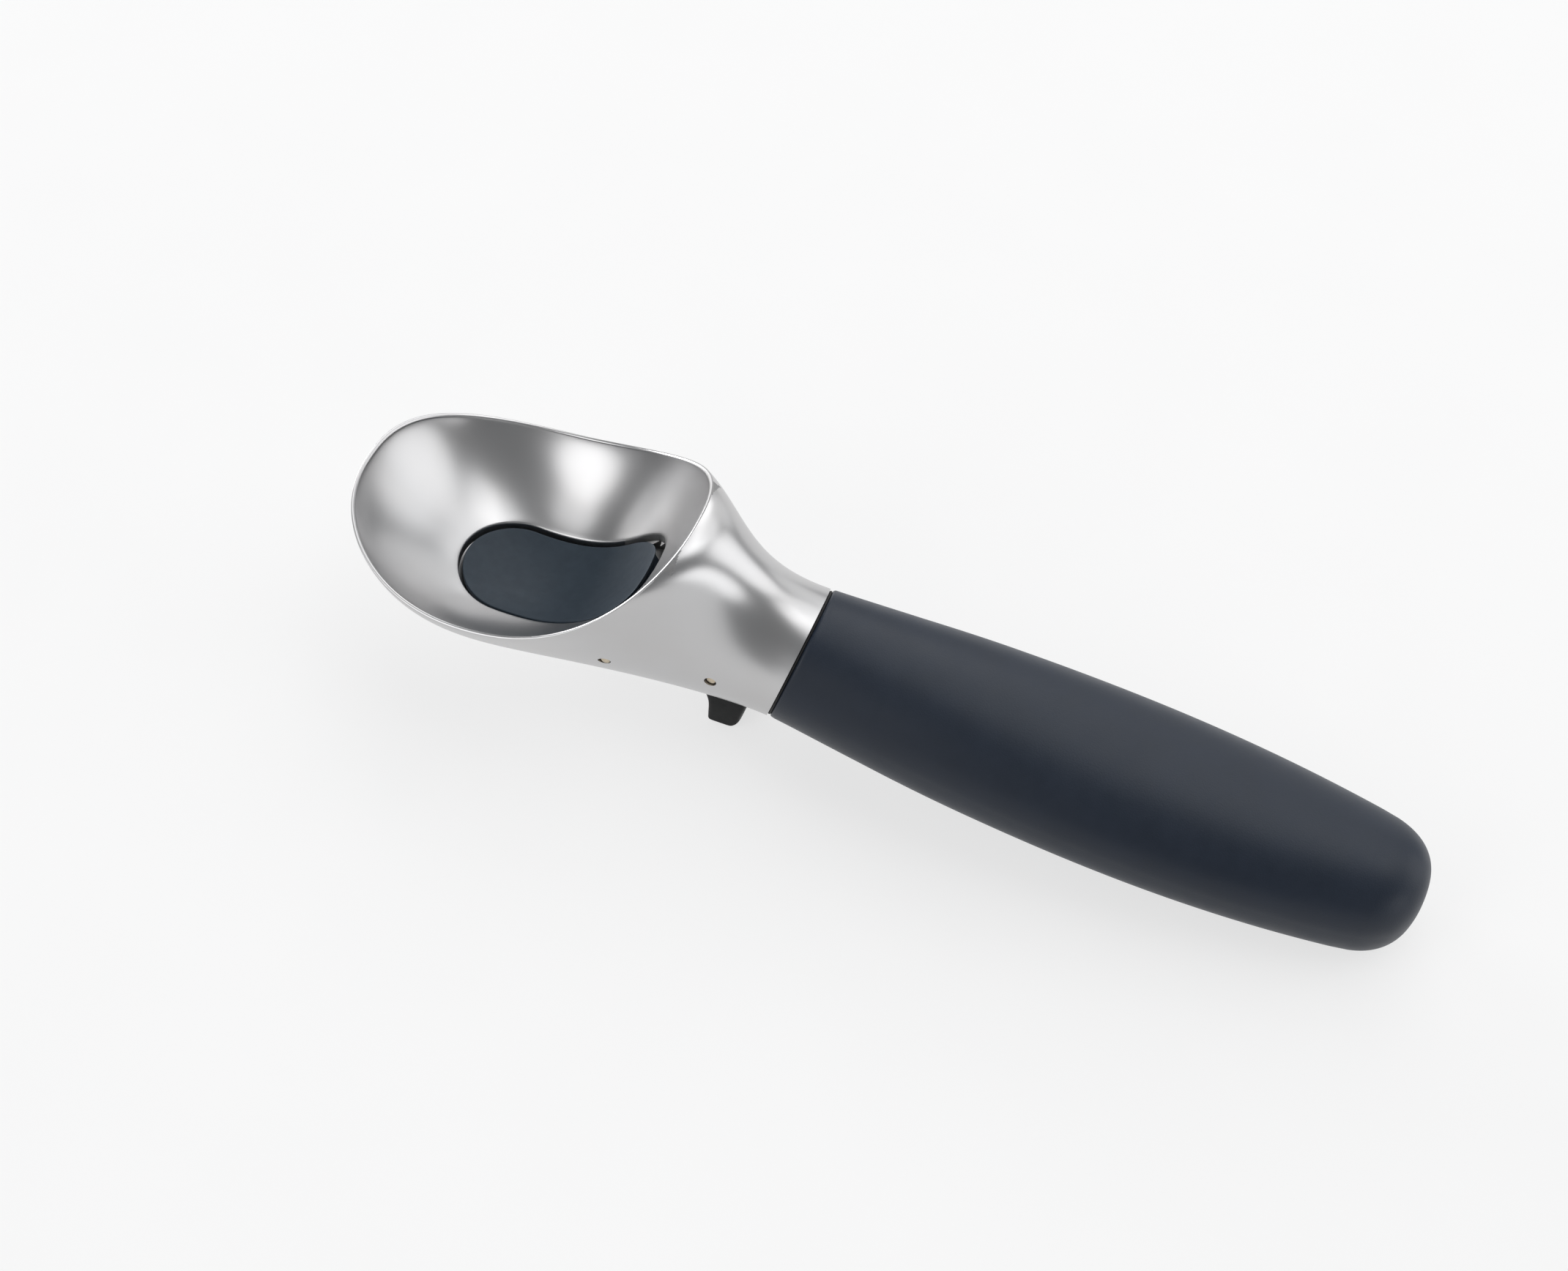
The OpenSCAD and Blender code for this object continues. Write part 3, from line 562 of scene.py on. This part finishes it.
def pad_rings(steps=90):
    """Oblong rings up the pad. Near the table each side is drawn in by a quarter circle of its
    own radius: small in front and at the sides, larger behind."""
    z = np.linspace(0, 1, steps) ** 2 * TRIGGER_AXIS[1]
    in_front, behind, beside = [
        radius * (1 - np.sqrt(1 - np.clip(1 - z / radius, 0, 1) ** 2)) for radius in PAD_ROUNDS]
    front, rear = through(PAD_FRONT, z) + in_front, through(PAD_BACK, z) - behind
    x = lerp(rear[:, None], front[:, None], (1 - signed_power(np.cos(turn), PAD_POWER)) / 2)
    y = (through(PAD_SIDE, z) - beside)[:, None] * signed_power(np.sin(turn), PAD_POWER)
    return np.stack([x, y, z[:, None] + 0 * x], -1)


trigger = ringed("trigger_moulding", (PAD_MIDDLE, 0, 0), pad_rings()[:, ::-1],
                 (TRIGGER_AXIS[0], 0, TRIGGER_AXIS[1]))
print("pad:", len(trigger.data.polygons), "faces")

# %% [markdown]
# The rest of the trigger is of one black moulding with the pad: a hub on the rear pin, and an arm
# whose knob works in the fork. The return spring sits in a room on one side of the hub, so its
# sizes come here.

# %% Trigger hub and arm
HUB_RADIUS, HUB_HALF, ARBOR_RADIUS = 3.4, 6.0, 2.2
ARM_LOW, ARM_HIGH = -5.1, -0.7
COIL_RADIUS, WIRE_RADIUS, COIL_PITCH, COIL_TURNS = 2.9, 0.35, 1.16, 3 + 75 / 360
COIL_MIDDLE = 3.55
SPRING_ROOM = COIL_RADIUS + WIRE_RADIUS + 0.5

arm = along_lever([(0, -2.6), (knob_reach - 3.2, -1.3), (knob_reach, -0.9), (knob_reach, 0.9),
                   (knob_reach - 3.2, 1.3), (0, 2.6)], TRIGGER_AXIS, -forward)
hub = bevelled(rod("hub", TRIGGER_AXIS, HUB_RADIUS, -HUB_HALF, HUB_HALF, 96), 0.5)
combine(trigger, [hub], "UNION")
combine(trigger, [rod("spring_room", TRIGGER_AXIS, SPRING_ROOM, 0.7, 12)], "DIFFERENCE")
combine(trigger, [rod("arbor", TRIGGER_AXIS, ARBOR_RADIUS, -1, HUB_HALF),
                  prism("arm", arm, ARM_LOW, ARM_HIGH),
                  rod("knob", knob_axis, KNOB_RADIUS, ARM_LOW, ARM_HIGH)], "UNION")
combine(trigger, [rod("pin_hole", TRIGGER_AXIS, BORE_RADIUS, -8, 8)], "DIFFERENCE")
print("trigger:", len(trigger.data.polygons), "faces, knob at", knob_axis.round(2))

# %% [markdown]
# Both pins are turned bars with a chamfer and a faintly domed end. They stay a little below the
# skin of the casting, so each shows as a disc in a dark ring.

# %% Pins
PIN_RADIUS = 1.0
PIN_END = [(0.35, 0.02), (0.65, 0.06), (0.8, 0.1), (0.95, 0.22), (PIN_RADIUS, 0.36)]


def hinge_pin(name, axis, length):
    """A bar along Y: the radius at each place comes from a chamfer and a shallow dome."""
    half = length / 2
    ends = [(radius, half - drop) for radius, drop in PIN_END]
    steps = ends + [(PIN_RADIUS, y) for y in np.linspace(half, -half, 14)[1:-1]]
    steps += [(radius, -y) for radius, y in ends[::-1]]
    circle = np.radians(np.linspace(0, 360, 65)[:-1])
    rings = [np.stack([axis[0] + radius * np.cos(circle), 0 * circle + y,
                       axis[1] + radius * np.sin(circle)], -1) for radius, y in steps]
    return ringed(name, (axis[0], half, axis[1]), np.array(rings)[:, ::-1],
                  (axis[0], -half, axis[1]))


ejector_pin = hinge_pin("ejector_hinge_pin", EJECTOR_AXIS, PIN_LENGTH["ejector"])
trigger_pin = hinge_pin("trigger_hinge_pin", TRIGGER_AXIS, PIN_LENGTH["trigger"])
print("pins:", PIN_LENGTH)

# %% [markdown]
# The return spring is a wire along a helix with two straight legs. At each point of the path a
# small circle stands square to the wire.

# %% Spring
COIL_START, ROOF_LEG, PAD_LEG, LEG_GAP = 115, 5.45, 7, 0.2


def wire(name, path, radius, count=14):
    """A round tube along a path. The circle at each point is spanned by the path's direction
    crossed with Y, and by what is square to both."""
    path = np.asarray(path, float)
    along = np.gradient(path, axis=0)
    along /= np.linalg.norm(along, axis=1, keepdims=True)
    side = np.cross(along, [0, 1, 0])
    side /= np.linalg.norm(side, axis=1, keepdims=True)
    over = np.cross(side, along)
    circle = np.linspace(0, 2 * np.pi, count, endpoint=False)[None, :, None]
    rings = path[:, None] + radius * (side[:, None] * np.cos(circle)
                                      + over[:, None] * np.sin(circle))
    return ringed(name, path[0], rings, path[-1], 60)


angle = np.radians(COIL_START) + 2 * np.pi * np.linspace(0, COIL_TURNS, 200)
rise = COIL_PITCH * (np.linspace(0, COIL_TURNS, 200) - COIL_TURNS / 2)
coil = np.stack([TRIGGER_AXIS[0] + COIL_RADIUS * np.cos(angle), COIL_MIDDLE + rise,
                 TRIGGER_AXIS[1] + COIL_RADIUS * np.sin(angle)], -1)
leave_rise = COIL_PITCH / (2 * np.pi * COIL_RADIUS)
leave = np.stack([-np.sin(angle[[0, -1]]), [leave_rise] * 2, np.cos(angle[[0, -1]])], -1)
roof_leg = coil[0] - leave[0] * np.linspace(ROOF_LEG, LEG_GAP, 12)[:, None]
pad_leg = coil[-1] + leave[1] * np.linspace(LEG_GAP, PAD_LEG, 14)[:, None]
spring = wire("return_spring_wire", np.vstack([roof_leg, coil, pad_leg]), WIRE_RADIUS)
print("spring:", round(COIL_TURNS, 2), "turns")

# %% [markdown]
# The handle is a soft grip over a core. Its rings lean with the seam at the front and stand square
# to the hand further back. Underneath they are fuller than an ellipse, and they close in a blunt
# rounded end.

# %% Formulas of the handle
SEAL_THICKNESS, GRIP_WALL, END_TILT, END_ROUNDING, END_POWER = 0.6, 2.6, 0.13, 12.2, 2.9
HANDLE_START, HANDLE_STOP = SEAM_MIDDLE[0] + SEAL_THICKNESS, END_X - END_TILT
SEAM_RAISE, SETTLE_SHARE, BELLY_POWER = 0.6, 0.3, 2.6
GRIP_WIDTHS = [13.1, 17.9, 21.1, 10.8]
GRIP_HEIGHTS = [13.2, 12.8, 12.6, 11.4]
GRIP_LEVELS = [SEAM_MIDDLE[1] + SEAM_RAISE, 18.1, 14.15, END_LEVEL]

seam_up = (SEAM_TOP - SEAM_BOTTOM) / np.hypot(*(SEAM_TOP - SEAM_BOTTOM))
seam_half_length = np.hypot(*(SEAM_TOP - SEAM_BOTTOM)) / 2
handle_turn = np.linspace(0, 2 * np.pi, 240, endpoint=False)


def unit(v):
    """The direction of v, with length 1."""
    return v / np.linalg.norm(v, axis=-1, keepdims=True)


def handle_rings(share, inset):
    """Rings at shares of the handle's length, drawn in by an inset: Bezier curves give half the
    width, half the height and the level; the end closes as a super-ellipse of power 2.9."""
    t, inset = np.broadcast_arrays(np.asarray(share, float), np.asarray(inset, float))
    stop = HANDLE_STOP - inset
    x = lerp(HANDLE_START, stop, t)
    into_end = np.clip((x - stop + END_ROUNDING) / END_ROUNDING, 0, 1)
    shrink = (1 - into_end ** END_POWER) ** (1 / END_POWER)
    settle = np.minimum(1, t / SETTLE_SHARE)
    blend = settle * settle * (3 - 2 * settle)
    lean = unit(lerp(seam_up, unit(np.array([-SLOPE, 1])), blend[:, None]))
    half = (bezier(GRIP_WIDTHS, t) - inset) * shrink
    height = lerp(seam_half_length, bezier(GRIP_HEIGHTS, t), np.minimum(1, 2 * settle))
    tall = (height - inset) * shrink
    level = bezier(GRIP_LEVELS, t) - SEAM_RAISE * (1 - blend)
    belly = 2 / lerp(2, BELLY_POWER, blend)[:, None]
    power = np.where(np.sin(handle_turn) < 0, belly, 1.0)
    v = signed_power(np.cos(handle_turn), power)
    w = signed_power(np.sin(handle_turn), power)
    return np.stack([x[:, None] + (lean[:, :1] * tall[:, None]) * w, -half[:, None] * v,
                     level[:, None] + (lean[:, 1:] * tall[:, None]) * w], -1)


print("handle from x", HANDLE_START.round(1), "to", HANDLE_STOP, "mm")

# %% [markdown]
# The grip is a shell: its skin runs back inside at the wall's thickness, where the core is. Its
# front edge is rounded, so that the joint at the neck reads as a fine dark line.

# %% Grip
EDGE = 0.55


def shares(inset, front):
    """Shares of the length from the front to the end, closer together in the rounded end."""
    length = HANDLE_STOP - inset - HANDLE_START
    body = 1 - END_ROUNDING / length
    bend = np.sin(np.radians(np.linspace(8, 89, 30))) ** (2 / END_POWER)
    return np.concatenate([np.linspace(front, body, 170), 1 - (1 - body) * (1 - bend)])


quarter = np.radians(np.linspace(0, 90, 7))
front_edge = handle_rings(0 * quarter, EDGE * (1 - np.sin(quarter)))
front_edge[..., 0] += EDGE * (1 - np.cos(quarter))[:, None]
outside = shares(0, 1.0 / (HANDLE_STOP - HANDLE_START))
inside = shares(GRIP_WALL, 0)[::4]
grip = ringed("handle_soft_grip", (HANDLE_STOP - GRIP_WALL, 0, END_LEVEL),
              np.vstack([handle_rings(inside, GRIP_WALL)[::-1], front_edge,
                         handle_rings(outside, 0)]), (HANDLE_STOP, 0, END_LEVEL), 40)
print("grip:", len(grip.data.polygons), "faces")

# %% [markdown]
# Between the neck and the grip lies a thin rubber ring. It stays a little below both skins, and its
# near-black colour is painted shade: it stands in for the shadow in the joint, so the joint's line
# reads dark.

# %% Neck seal
SEAL_SECTION = [(0.45, 0.05), (3.35, 0.05), (3.35, 0.55), (0.45, 0.55), (0.35, 0.4), (0.35, 0.2)]


def hoop(name, rings):
    """A closed ring whose section is given by closed rings, the last one joined to the first."""
    rings = np.asarray(rings, float)
    rows, count = rings.shape[:2]
    here, next_row = np.arange(rows)[:, None] * count, (np.arange(rows)[:, None] + 1) % rows * count
    i = np.arange(count)
    j = (i + 1) % count
    faces = np.stack([here + j, here + i, next_row + i, next_row + j], -1)
    return mesh_object(name, rings.reshape(-1, 3), faces.reshape(-1, 4).tolist())


def seam_ring(inset, shift):
    """An ellipse in the plane of the seam, drawn in by an inset and moved along X."""
    half, tall = NECK_WIDTH / 2 - inset, seam_half_length - inset
    return np.stack([SEAM_MIDDLE[0] + shift + seam_up[0] * tall * np.sin(handle_turn),
                     half * np.cos(handle_turn),
                     SEAM_MIDDLE[1] + seam_up[1] * tall * np.sin(handle_turn)], -1)


seal = hoop("neck_seal_ring", [seam_ring(inset, shift) for inset, shift in SEAL_SECTION])
print("seal:", len(seal.data.polygons), "faces")

# %% [markdown]
# Each new piece now rides on its body, stands for the CAD node that it replaces, and names the
# slot of the record that its finish comes from. The two core halves and their screws are hidden
# inside the grip, and the CAD pieces stay for them.

# %% Pieces and bodies
PIECES = [(head, "scoop", ["scoop_head"], "satin_chrome_casting"),
          (tang, "scoop", [], "satin_chrome_casting"),
          (flap, "ejector", ["ejector"], "slate_plastic"),
          (lever, "ejector", [], "slate_plastic"),
          (trigger, "trigger", ["trigger"], "black_plastic"),
          (ejector_pin, "scoop", ["ejector_pin"], "pin_steel"),
          (trigger_pin, "scoop", ["trigger_pin"], "pin_steel"),
          (spring, "scoop", ["return_spring"], "spring_steel"),
          (seal, "scoop", ["neck_seal"], "seal_rubber"),
          (grip, "scoop", ["handle_grip"], "grip_rubber")]
for piece, body, nodes, slot_name in PIECES:
    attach(piece, body)
    if nodes:
        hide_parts(*nodes)
kept = {name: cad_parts[name] for name in ("core_left", "core_right", "core_screws")}
print("new pieces:", len(PIECES), "and kept CAD pieces:", sorted(kept))

# %% [markdown]
# Colours are read as sRGB hex codes, and turned linear by one function. Patterns are drawn in
# object coordinates, where one unit is one metre: a grain of a third of a millimetre has a scale
# of about 3000. No real finish is perfectly even, so colour and roughness wander a little in all
# of them.

# %% Helpers for nodes
def srgb(code):
    """Linear colour of an sRGB hex code: a power of 2.4 above the short straight start."""
    c = np.array([int(code[i:i + 2], 16) for i in (1, 3, 5)]) / 255
    return (*np.where(c <= 0.04045, c / 12.92, ((c + 0.055) / 1.055) ** 2.4).tolist(), 1.0)


def add(tree, kind, values=None, **settings):
    """Adds a node, sets its options and its inputs, and links an input whose value is a socket."""
    made = tree.nodes.new("ShaderNode" + kind)
    for name, value in settings.items():
        setattr(made, name, value)
    for name, value in (values or {}).items():
        if isinstance(value, bpy.types.NodeSocket):
            tree.links.new(value, made.inputs[name])
        else:
            made.inputs[name].default_value = value
    return made


def noise(tree, scale, detail=2.0, rough=0.5):
    """Noise in object coordinates, with a scale per metre."""
    place = add(tree, "TexCoord").outputs["Object"]
    return add(tree, "TexNoise", {"Vector": place, "Scale": scale, "Detail": detail,
                                  "Roughness": rough}).outputs["Fac"]


def spread(tree, value, low, high):
    """Maps the middle half of 0..1, where nearly all noise lies, to low..high."""
    return add(tree, "MapRange", {"Value": value, "From Min": 0.25, "From Max": 0.75,
                                  "To Min": low, "To Max": high}).outputs["Result"]


def shade(tree, value, dark, light):
    """A colour between two hex codes, by a value from 0 to 1."""
    share = spread(tree, value, 0, 1)
    return add(tree, "Mix", {0: share, 6: srgb(dark), 7: srgb(light)}, data_type="RGBA").outputs[2]


print("mid grey in linear light:", round(srgb("#808080")[0], 3))

# %% [markdown]
# Every finish here is one shader whose colour and roughness come from noise, and some have a low
# relief, so one helper makes them all from a line of numbers.

# %% Helpers for materials
def material(name, **inputs):
    """A material with one Principled shader. Underscores in the names stand for spaces."""
    made = bpy.data.materials.new(name)
    made.use_nodes = True
    shader = made.node_tree.nodes["Principled BSDF"]
    for key, value in inputs.items():
        shader.inputs[key.replace("_", " ")].default_value = value
    return made, made.node_tree, shader


def relief(tree, shader, height, depth):
    """A bump whose full height is depth in metres."""
    bump = add(tree, "Bump", {"Height": height, "Distance": depth, "Strength": 1.0}).outputs[0]
    tree.links.new(bump, shader.inputs["Normal"])


def finish(name, tones, tone_noise, rough, rough_noise, depth=0, relief_noise=(), **inputs):
    """A material whose colour wanders between two tones and whose roughness wanders between two
    values, each by a noise of its own. A depth in metres adds a relief by a third noise."""
    made, tree, shader = material(name, **inputs)
    tree.links.new(shade(tree, noise(tree, *tone_noise), *tones), shader.inputs["Base Color"])
    tree.links.new(spread(tree, noise(tree, *rough_noise), *rough), shader.inputs["Roughness"])
    if depth:
        relief(tree, shader, noise(tree, *relief_noise), depth)
    return made


print("material helpers: material, relief and finish")

# %% [markdown]
# The casting is satin chrome over zinc: the metal is polished, blasted very finely and plated.
# The blast is too fine to show as a grain. It blurs what the metal mirrors into soft blobs, and
# handling leaves slow changes in it. Inside the channel the casting is left dull.

# %% Metals
# Mirrors the lamps and the floor as soft blobs, which is what reads as satin.
satin = finish("satin_chrome_on_zinc", ("#c0bfbf", "#c4c4c5"), (60,), (0.29, 0.31), (90, 3),
               Metallic=1.0)
# Keeps the inside of the channel dull and dark. At the back of the flap's seat the same dark tone
# is painted shade, for the shadow deep in the gap behind the flap.
dull_zinc_and_shade = finish("dull_zinc_and_painted_shade", ("#8c8c8d", "#a3a2a1"), (400, 4), (0.5, 0.65), (250,),
              0.00004, (1600, 4, 0.6), Metallic=1.0)
# A tight grey shine, which drawing through a die gives the wire.
drawn = finish("drawn_spring_wire", ("#8f9092", "#a9aaab"), (1200,), (0.24, 0.36), (2500,),
               Metallic=1.0)
# A cool, slightly cloudy shine on the screws in the handle.
plated = finish("zinc_plated_screw", ("#a7a9ab", "#bcbdbe"), (900,), (0.32, 0.45), (1800,),
                Metallic=1.0)
print("metals:", satin.name, dull_zinc_and_shade.name, drawn.name, plated.name)

# %% [markdown]
# The pins are turned on a lathe, and the tool leaves fine rings about the pin's own axis. The
# rings are a sine of the distance from that axis, so each pin has a material of its own. Their
# warm tone sets them off from the chrome.

# %% Turned pins
RING_RATE = 62000.0  # in radians per metre, which is a ring in each tenth of a millimetre
RING_DEPTH = 0.000004


def turned(name, axis):
    """Turned metal: fine rings about an axis along Y, a tenth of a millimetre apart."""
    made = finish(name, ("#b4a894", "#cbbfab"), (900,), (0.3, 0.38), (1500,), Metallic=1.0)
    tree = made.node_tree
    place = add(tree, "TexCoord").outputs["Object"]
    flat = add(tree, "VectorMath", {0: place, 1: (1, 0, 1)}, operation="MULTIPLY").outputs[0]
    centre = (axis[0] * MM, 0, axis[1] * MM)
    apart = add(tree, "VectorMath", {0: flat, 1: centre}, operation="DISTANCE").outputs["Value"]
    phase = add(tree, "Math", {0: apart, 1: RING_RATE}, operation="MULTIPLY").outputs[0]
    wave = add(tree, "Math", {0: phase}, operation="SINE").outputs[0]
    lines = add(tree, "MapRange", {"Value": wave, "From Min": -1.0}).outputs["Result"]
    relief(tree, tree.nodes["Principled BSDF"], lines, RING_DEPTH)
    return made


# Each gives a small warm disc with a thin glint on its chamfer.
ejector_turned = turned("turned_nickel_ejector", EJECTOR_AXIS)
trigger_turned = turned("turned_nickel_trigger", TRIGGER_AXIS)
print("pins:", ejector_turned.name, trigger_turned.name)

# %% [markdown]
# The flap is slate nylon with a faint mottle. The trigger is black nylon with a fine spark-eroded
# skin. The grip is soft-touch rubber: matt, with a grain of a third of a millimetre that shows
# where light grazes it. These three mirror less than a polished plastic, so their specular level
# is turned down.

# %% Plastics and rubber
# Blue-grey and matt, so that the flap stands apart from the chrome round it.
slate = finish("slate_nylon_moulding", ("#2e3842", "#343f49"), (420, 4, 0.6), (0.5, 0.58),
               (700, 3), 0.000012, (2400, 3), IOR=1.5, Specular_IOR_Level=0.28)
# The darkest piece: nearly no highlight, and only its outline shows.
black = finish("black_nylon_moulding", ("#0f1011", "#141516"), (500, 3), (0.48, 0.56),
               (900, 3), 0.00001, (3000, 3), IOR=1.5, Specular_IOR_Level=0.22)
# Deep blue-black with one wide soft highlight along the top of the handle.
soft = finish("soft_touch_grip_rubber", ("#1c2532", "#202937"), (150, 3), (0.4, 0.46),
              (300, 3), 0.00002, (3200, 2, 0.6), IOR=1.5, Specular_IOR_Level=0.36)
# Painted shade: the near-black ring stands in for the shadow in the joint between the neck and the
# grip.
seal_painted_shade = finish("neck_seal_painted_shade", ("#0c0c0d", "#121213"), (800,), (0.6, 0.75), (1200,), IOR=1.5)
# A plain grey moulding that stays hidden in the grip.
core = finish("core_nylon", ("#45474b", "#4f5155"), (300,), (0.45, 0.6), (900,), IOR=1.5)
print("plastics:", slate.name, black.name, soft.name, seal_painted_shade.name, core.name)

# %% [markdown]
# Each piece gets its finish in place of what it had. The head has two: where a face lies in the
# channel or in the room of the swing, it keeps the dull finish of the raw casting. Under the floor
# at the back of the flap's seat the same dark metal is painted shade, for the deep gap behind the
# flap.

# %% Finishes on the pieces
SLACK = 0.01
SEAT_SLACK, SEAT_BACK_HALF = 0.05, FLAP_HALF + 1.3
SEAT_BACK_X, SEAT_BACK_Z = (-57, -38), 16
SWING_FRONT, SWING_TOP, SWING_SLACK = FLAP_BACK + 2.1, 31, 0.02


def put(piece, *materials):
    """Gives the materials to a piece, in place of what it had."""
    piece.data.materials.clear()
    for each in materials:
        piece.data.materials.append(each)


for piece, made in ((tang, dull_zinc_and_shade), (flap, slate), (lever, slate), (trigger, black),
                    (ejector_pin, ejector_turned), (trigger_pin, trigger_turned),
                    (spring, drawn), (seal, seal_painted_shade), (grip, soft), (kept["core_left"], core),
                    (kept["core_right"], core), (kept["core_screws"], plated)):
    put(piece, made)
put(head, satin, dull_zinc_and_shade)

centre = np.zeros(3 * len(head.data.polygons))
head.data.polygons.foreach_get("center", centre)
x, y, z = centre.reshape(-1, 3).T / MM
in_channel = ((np.abs(y) < CHANNEL_HALF + SLACK) & (z < CHANNEL_ROOF + SLACK)
              & (x > CHANNEL_FRONT - SLACK) & (x < CHANNEL_BACK + SLACK))
# Painted shade: faces under the floor at the back of the flap's seat get the darker metal, so the
# deep gap behind the flap reads dark.
painted_shade_in_seat_back = ((floor_level(x, y) - z > SEAT_SLACK) & (np.abs(y) < SEAT_BACK_HALF)
                & (x > SEAT_BACK_X[0]) & (x < SEAT_BACK_X[1]) & (z > SEAT_BACK_Z))
in_swing = ((np.abs(y) < FLAP_HALF + SLACK) & (x > SWING_FRONT) & (z < SWING_TOP)
            & (np.hypot(x - EJECTOR_AXIS[0], z - EJECTOR_AXIS[1]) < swing + SWING_SLACK))
dull_and_painted_shade = in_channel | painted_shade_in_seat_back | in_swing
head.data.polygons.foreach_set("material_index", dull_and_painted_shade.astype(np.int32))
print("dull faces of the head:", int(dull_and_painted_shade.sum()))

# %% [markdown]
# The scoop lies on a pale floor that runs out of the picture on all sides. A white floor would
# throw so much light back that the underside turns flat and pale, so this paper is a mid grey. A
# glow is added to it for the rays that come from the camera, or by way of metal or glass. So the
# picture and the chrome show a nearly white floor, and the scoop's shadow stays on it.

# %% Floor
FLOOR_HALF = 3000
FLOOR_GLOW = 0.68

corners = [(-FLOOR_HALF, -FLOOR_HALF, 0), (FLOOR_HALF, -FLOOR_HALF, 0),
           (FLOOR_HALF, FLOOR_HALF, 0), (-FLOOR_HALF, FLOOR_HALF, 0)]
floor = mesh_object("studio_floor", corners, [(0, 1, 2, 3)])
paper, tree, shader = material("floor_paper", Roughness=0.9, Specular_IOR_Level=0.1)
tree.links.new(shade(tree, noise(tree, 30), "#8a8a8a", "#8c8c8c"), shader.inputs["Base Color"])
ray = add(tree, "LightPath").outputs
seen = add(tree, "Math", {0: ray["Is Camera Ray"], 1: ray["Is Glossy Ray"]},
           operation="MAXIMUM").outputs[0]
seen = add(tree, "Math", {0: seen, 1: ray["Is Transmission Ray"]}, operation="MAXIMUM").outputs[0]
glow = add(tree, "Math", {0: seen, 1: FLOOR_GLOW}, operation="MULTIPLY").outputs[0]
glow = add(tree, "Emission", {"Color": (1, 1, 1, 1), "Strength": glow}).outputs[0]
mixed = add(tree, "AddShader", {0: shader.outputs[0], 1: glow}).outputs[0]
tree.links.new(mixed, tree.nodes["Material Output"].inputs["Surface"])
put(floor, paper)
print("floor at z = 0, glow", FLOOR_GLOW)

# %% [markdown]
# Satin metal shows the room, so the lights are large and soft. Each one is a disc that faces the
# scoop from a direction, given by its azimuth and its height above the table in degrees. The set
# was found by rendering the scoop under one lamp at a time, and by looking for the strengths that
# together put the highlights where the photograph has them.

# %% Lights
LIGHT_DISTANCE = 1.6
LIGHT_TARGET = np.array([-40, 0, 20]) * MM
# Name, azimuth, height, width as an angle, strength.
SOFTBOXES = [("far_softbox", 104, 41, 36, 2.2), ("right_softbox", 22, 21, 44, 1.5),
             ("low_right_softbox", 337, 8, 26, 1.9), ("high_right_softbox", 8, 60, 26, 1.3),
             ("top_right_softbox", 0, 74, 26, 0.9), ("high_far_softbox", 54, 54, 36, 1.2),
             ("top_softbox", 90, 75, 36, 0.9), ("high_left_softbox", 216, 52, 26, 1.2),
             ("left_key_softbox", 235, 30, 34, 2.1), ("low_far_softbox", 72, 19, 36, 0.8),
             ("low_left_softbox", 157, 8, 26, 11.0), ("low_back_softbox", 180, 8, 26, 1.8),
             ("low_front_softbox", 247, 8, 26, 0.9)]


def softbox(name, azimuth, height, width, strength):
    """A round area light that faces the bowl. Its power is its strength times pi squared times
    its radius squared, so that a strength of 1 looks just white in a mirror."""
    data = bpy.data.lights.new(name, "AREA")
    data.shape = "DISK"
    data.size = 2 * LIGHT_DISTANCE * np.tan(np.radians(width / 2))
    data.energy = strength * np.pi ** 2 * (data.size / 2) ** 2
    lamp = bpy.data.objects.new(name, data)
    bpy.context.scene.collection.objects.link(lamp)
    a, e = np.radians([azimuth, height])
    away = np.array([np.cos(a) * np.cos(e), np.sin(a) * np.cos(e), np.sin(e)])
    side = unit(np.cross([0, 0, 1], away))
    over = np.cross(away, side)
    lamp.matrix_world = placed((side, over, away), LIGHT_TARGET + LIGHT_DISTANCE * away)


for box in SOFTBOXES:
    softbox(*box)
print("softboxes:", len(SOFTBOXES))

# %% [markdown]
# A studio is never black between its lamps, so a dim room of a faintly cool white fills the rest.
# It is weak, because the dark areas in the chrome are what gives the bowl its form.

# %% Room
ROOM_COLOUR, ROOM_STRENGTH = "#f4f6f8", 0.26

world = bpy.data.worlds.new("studio_room")
bpy.context.scene.world = world
world.use_nodes = True
background = world.node_tree.nodes["Background"]
background.inputs["Color"].default_value = srgb(ROOM_COLOUR)
background.inputs["Strength"].default_value = ROOM_STRENGTH
print("room:", ROOM_COLOUR, "at", ROOM_STRENGTH)
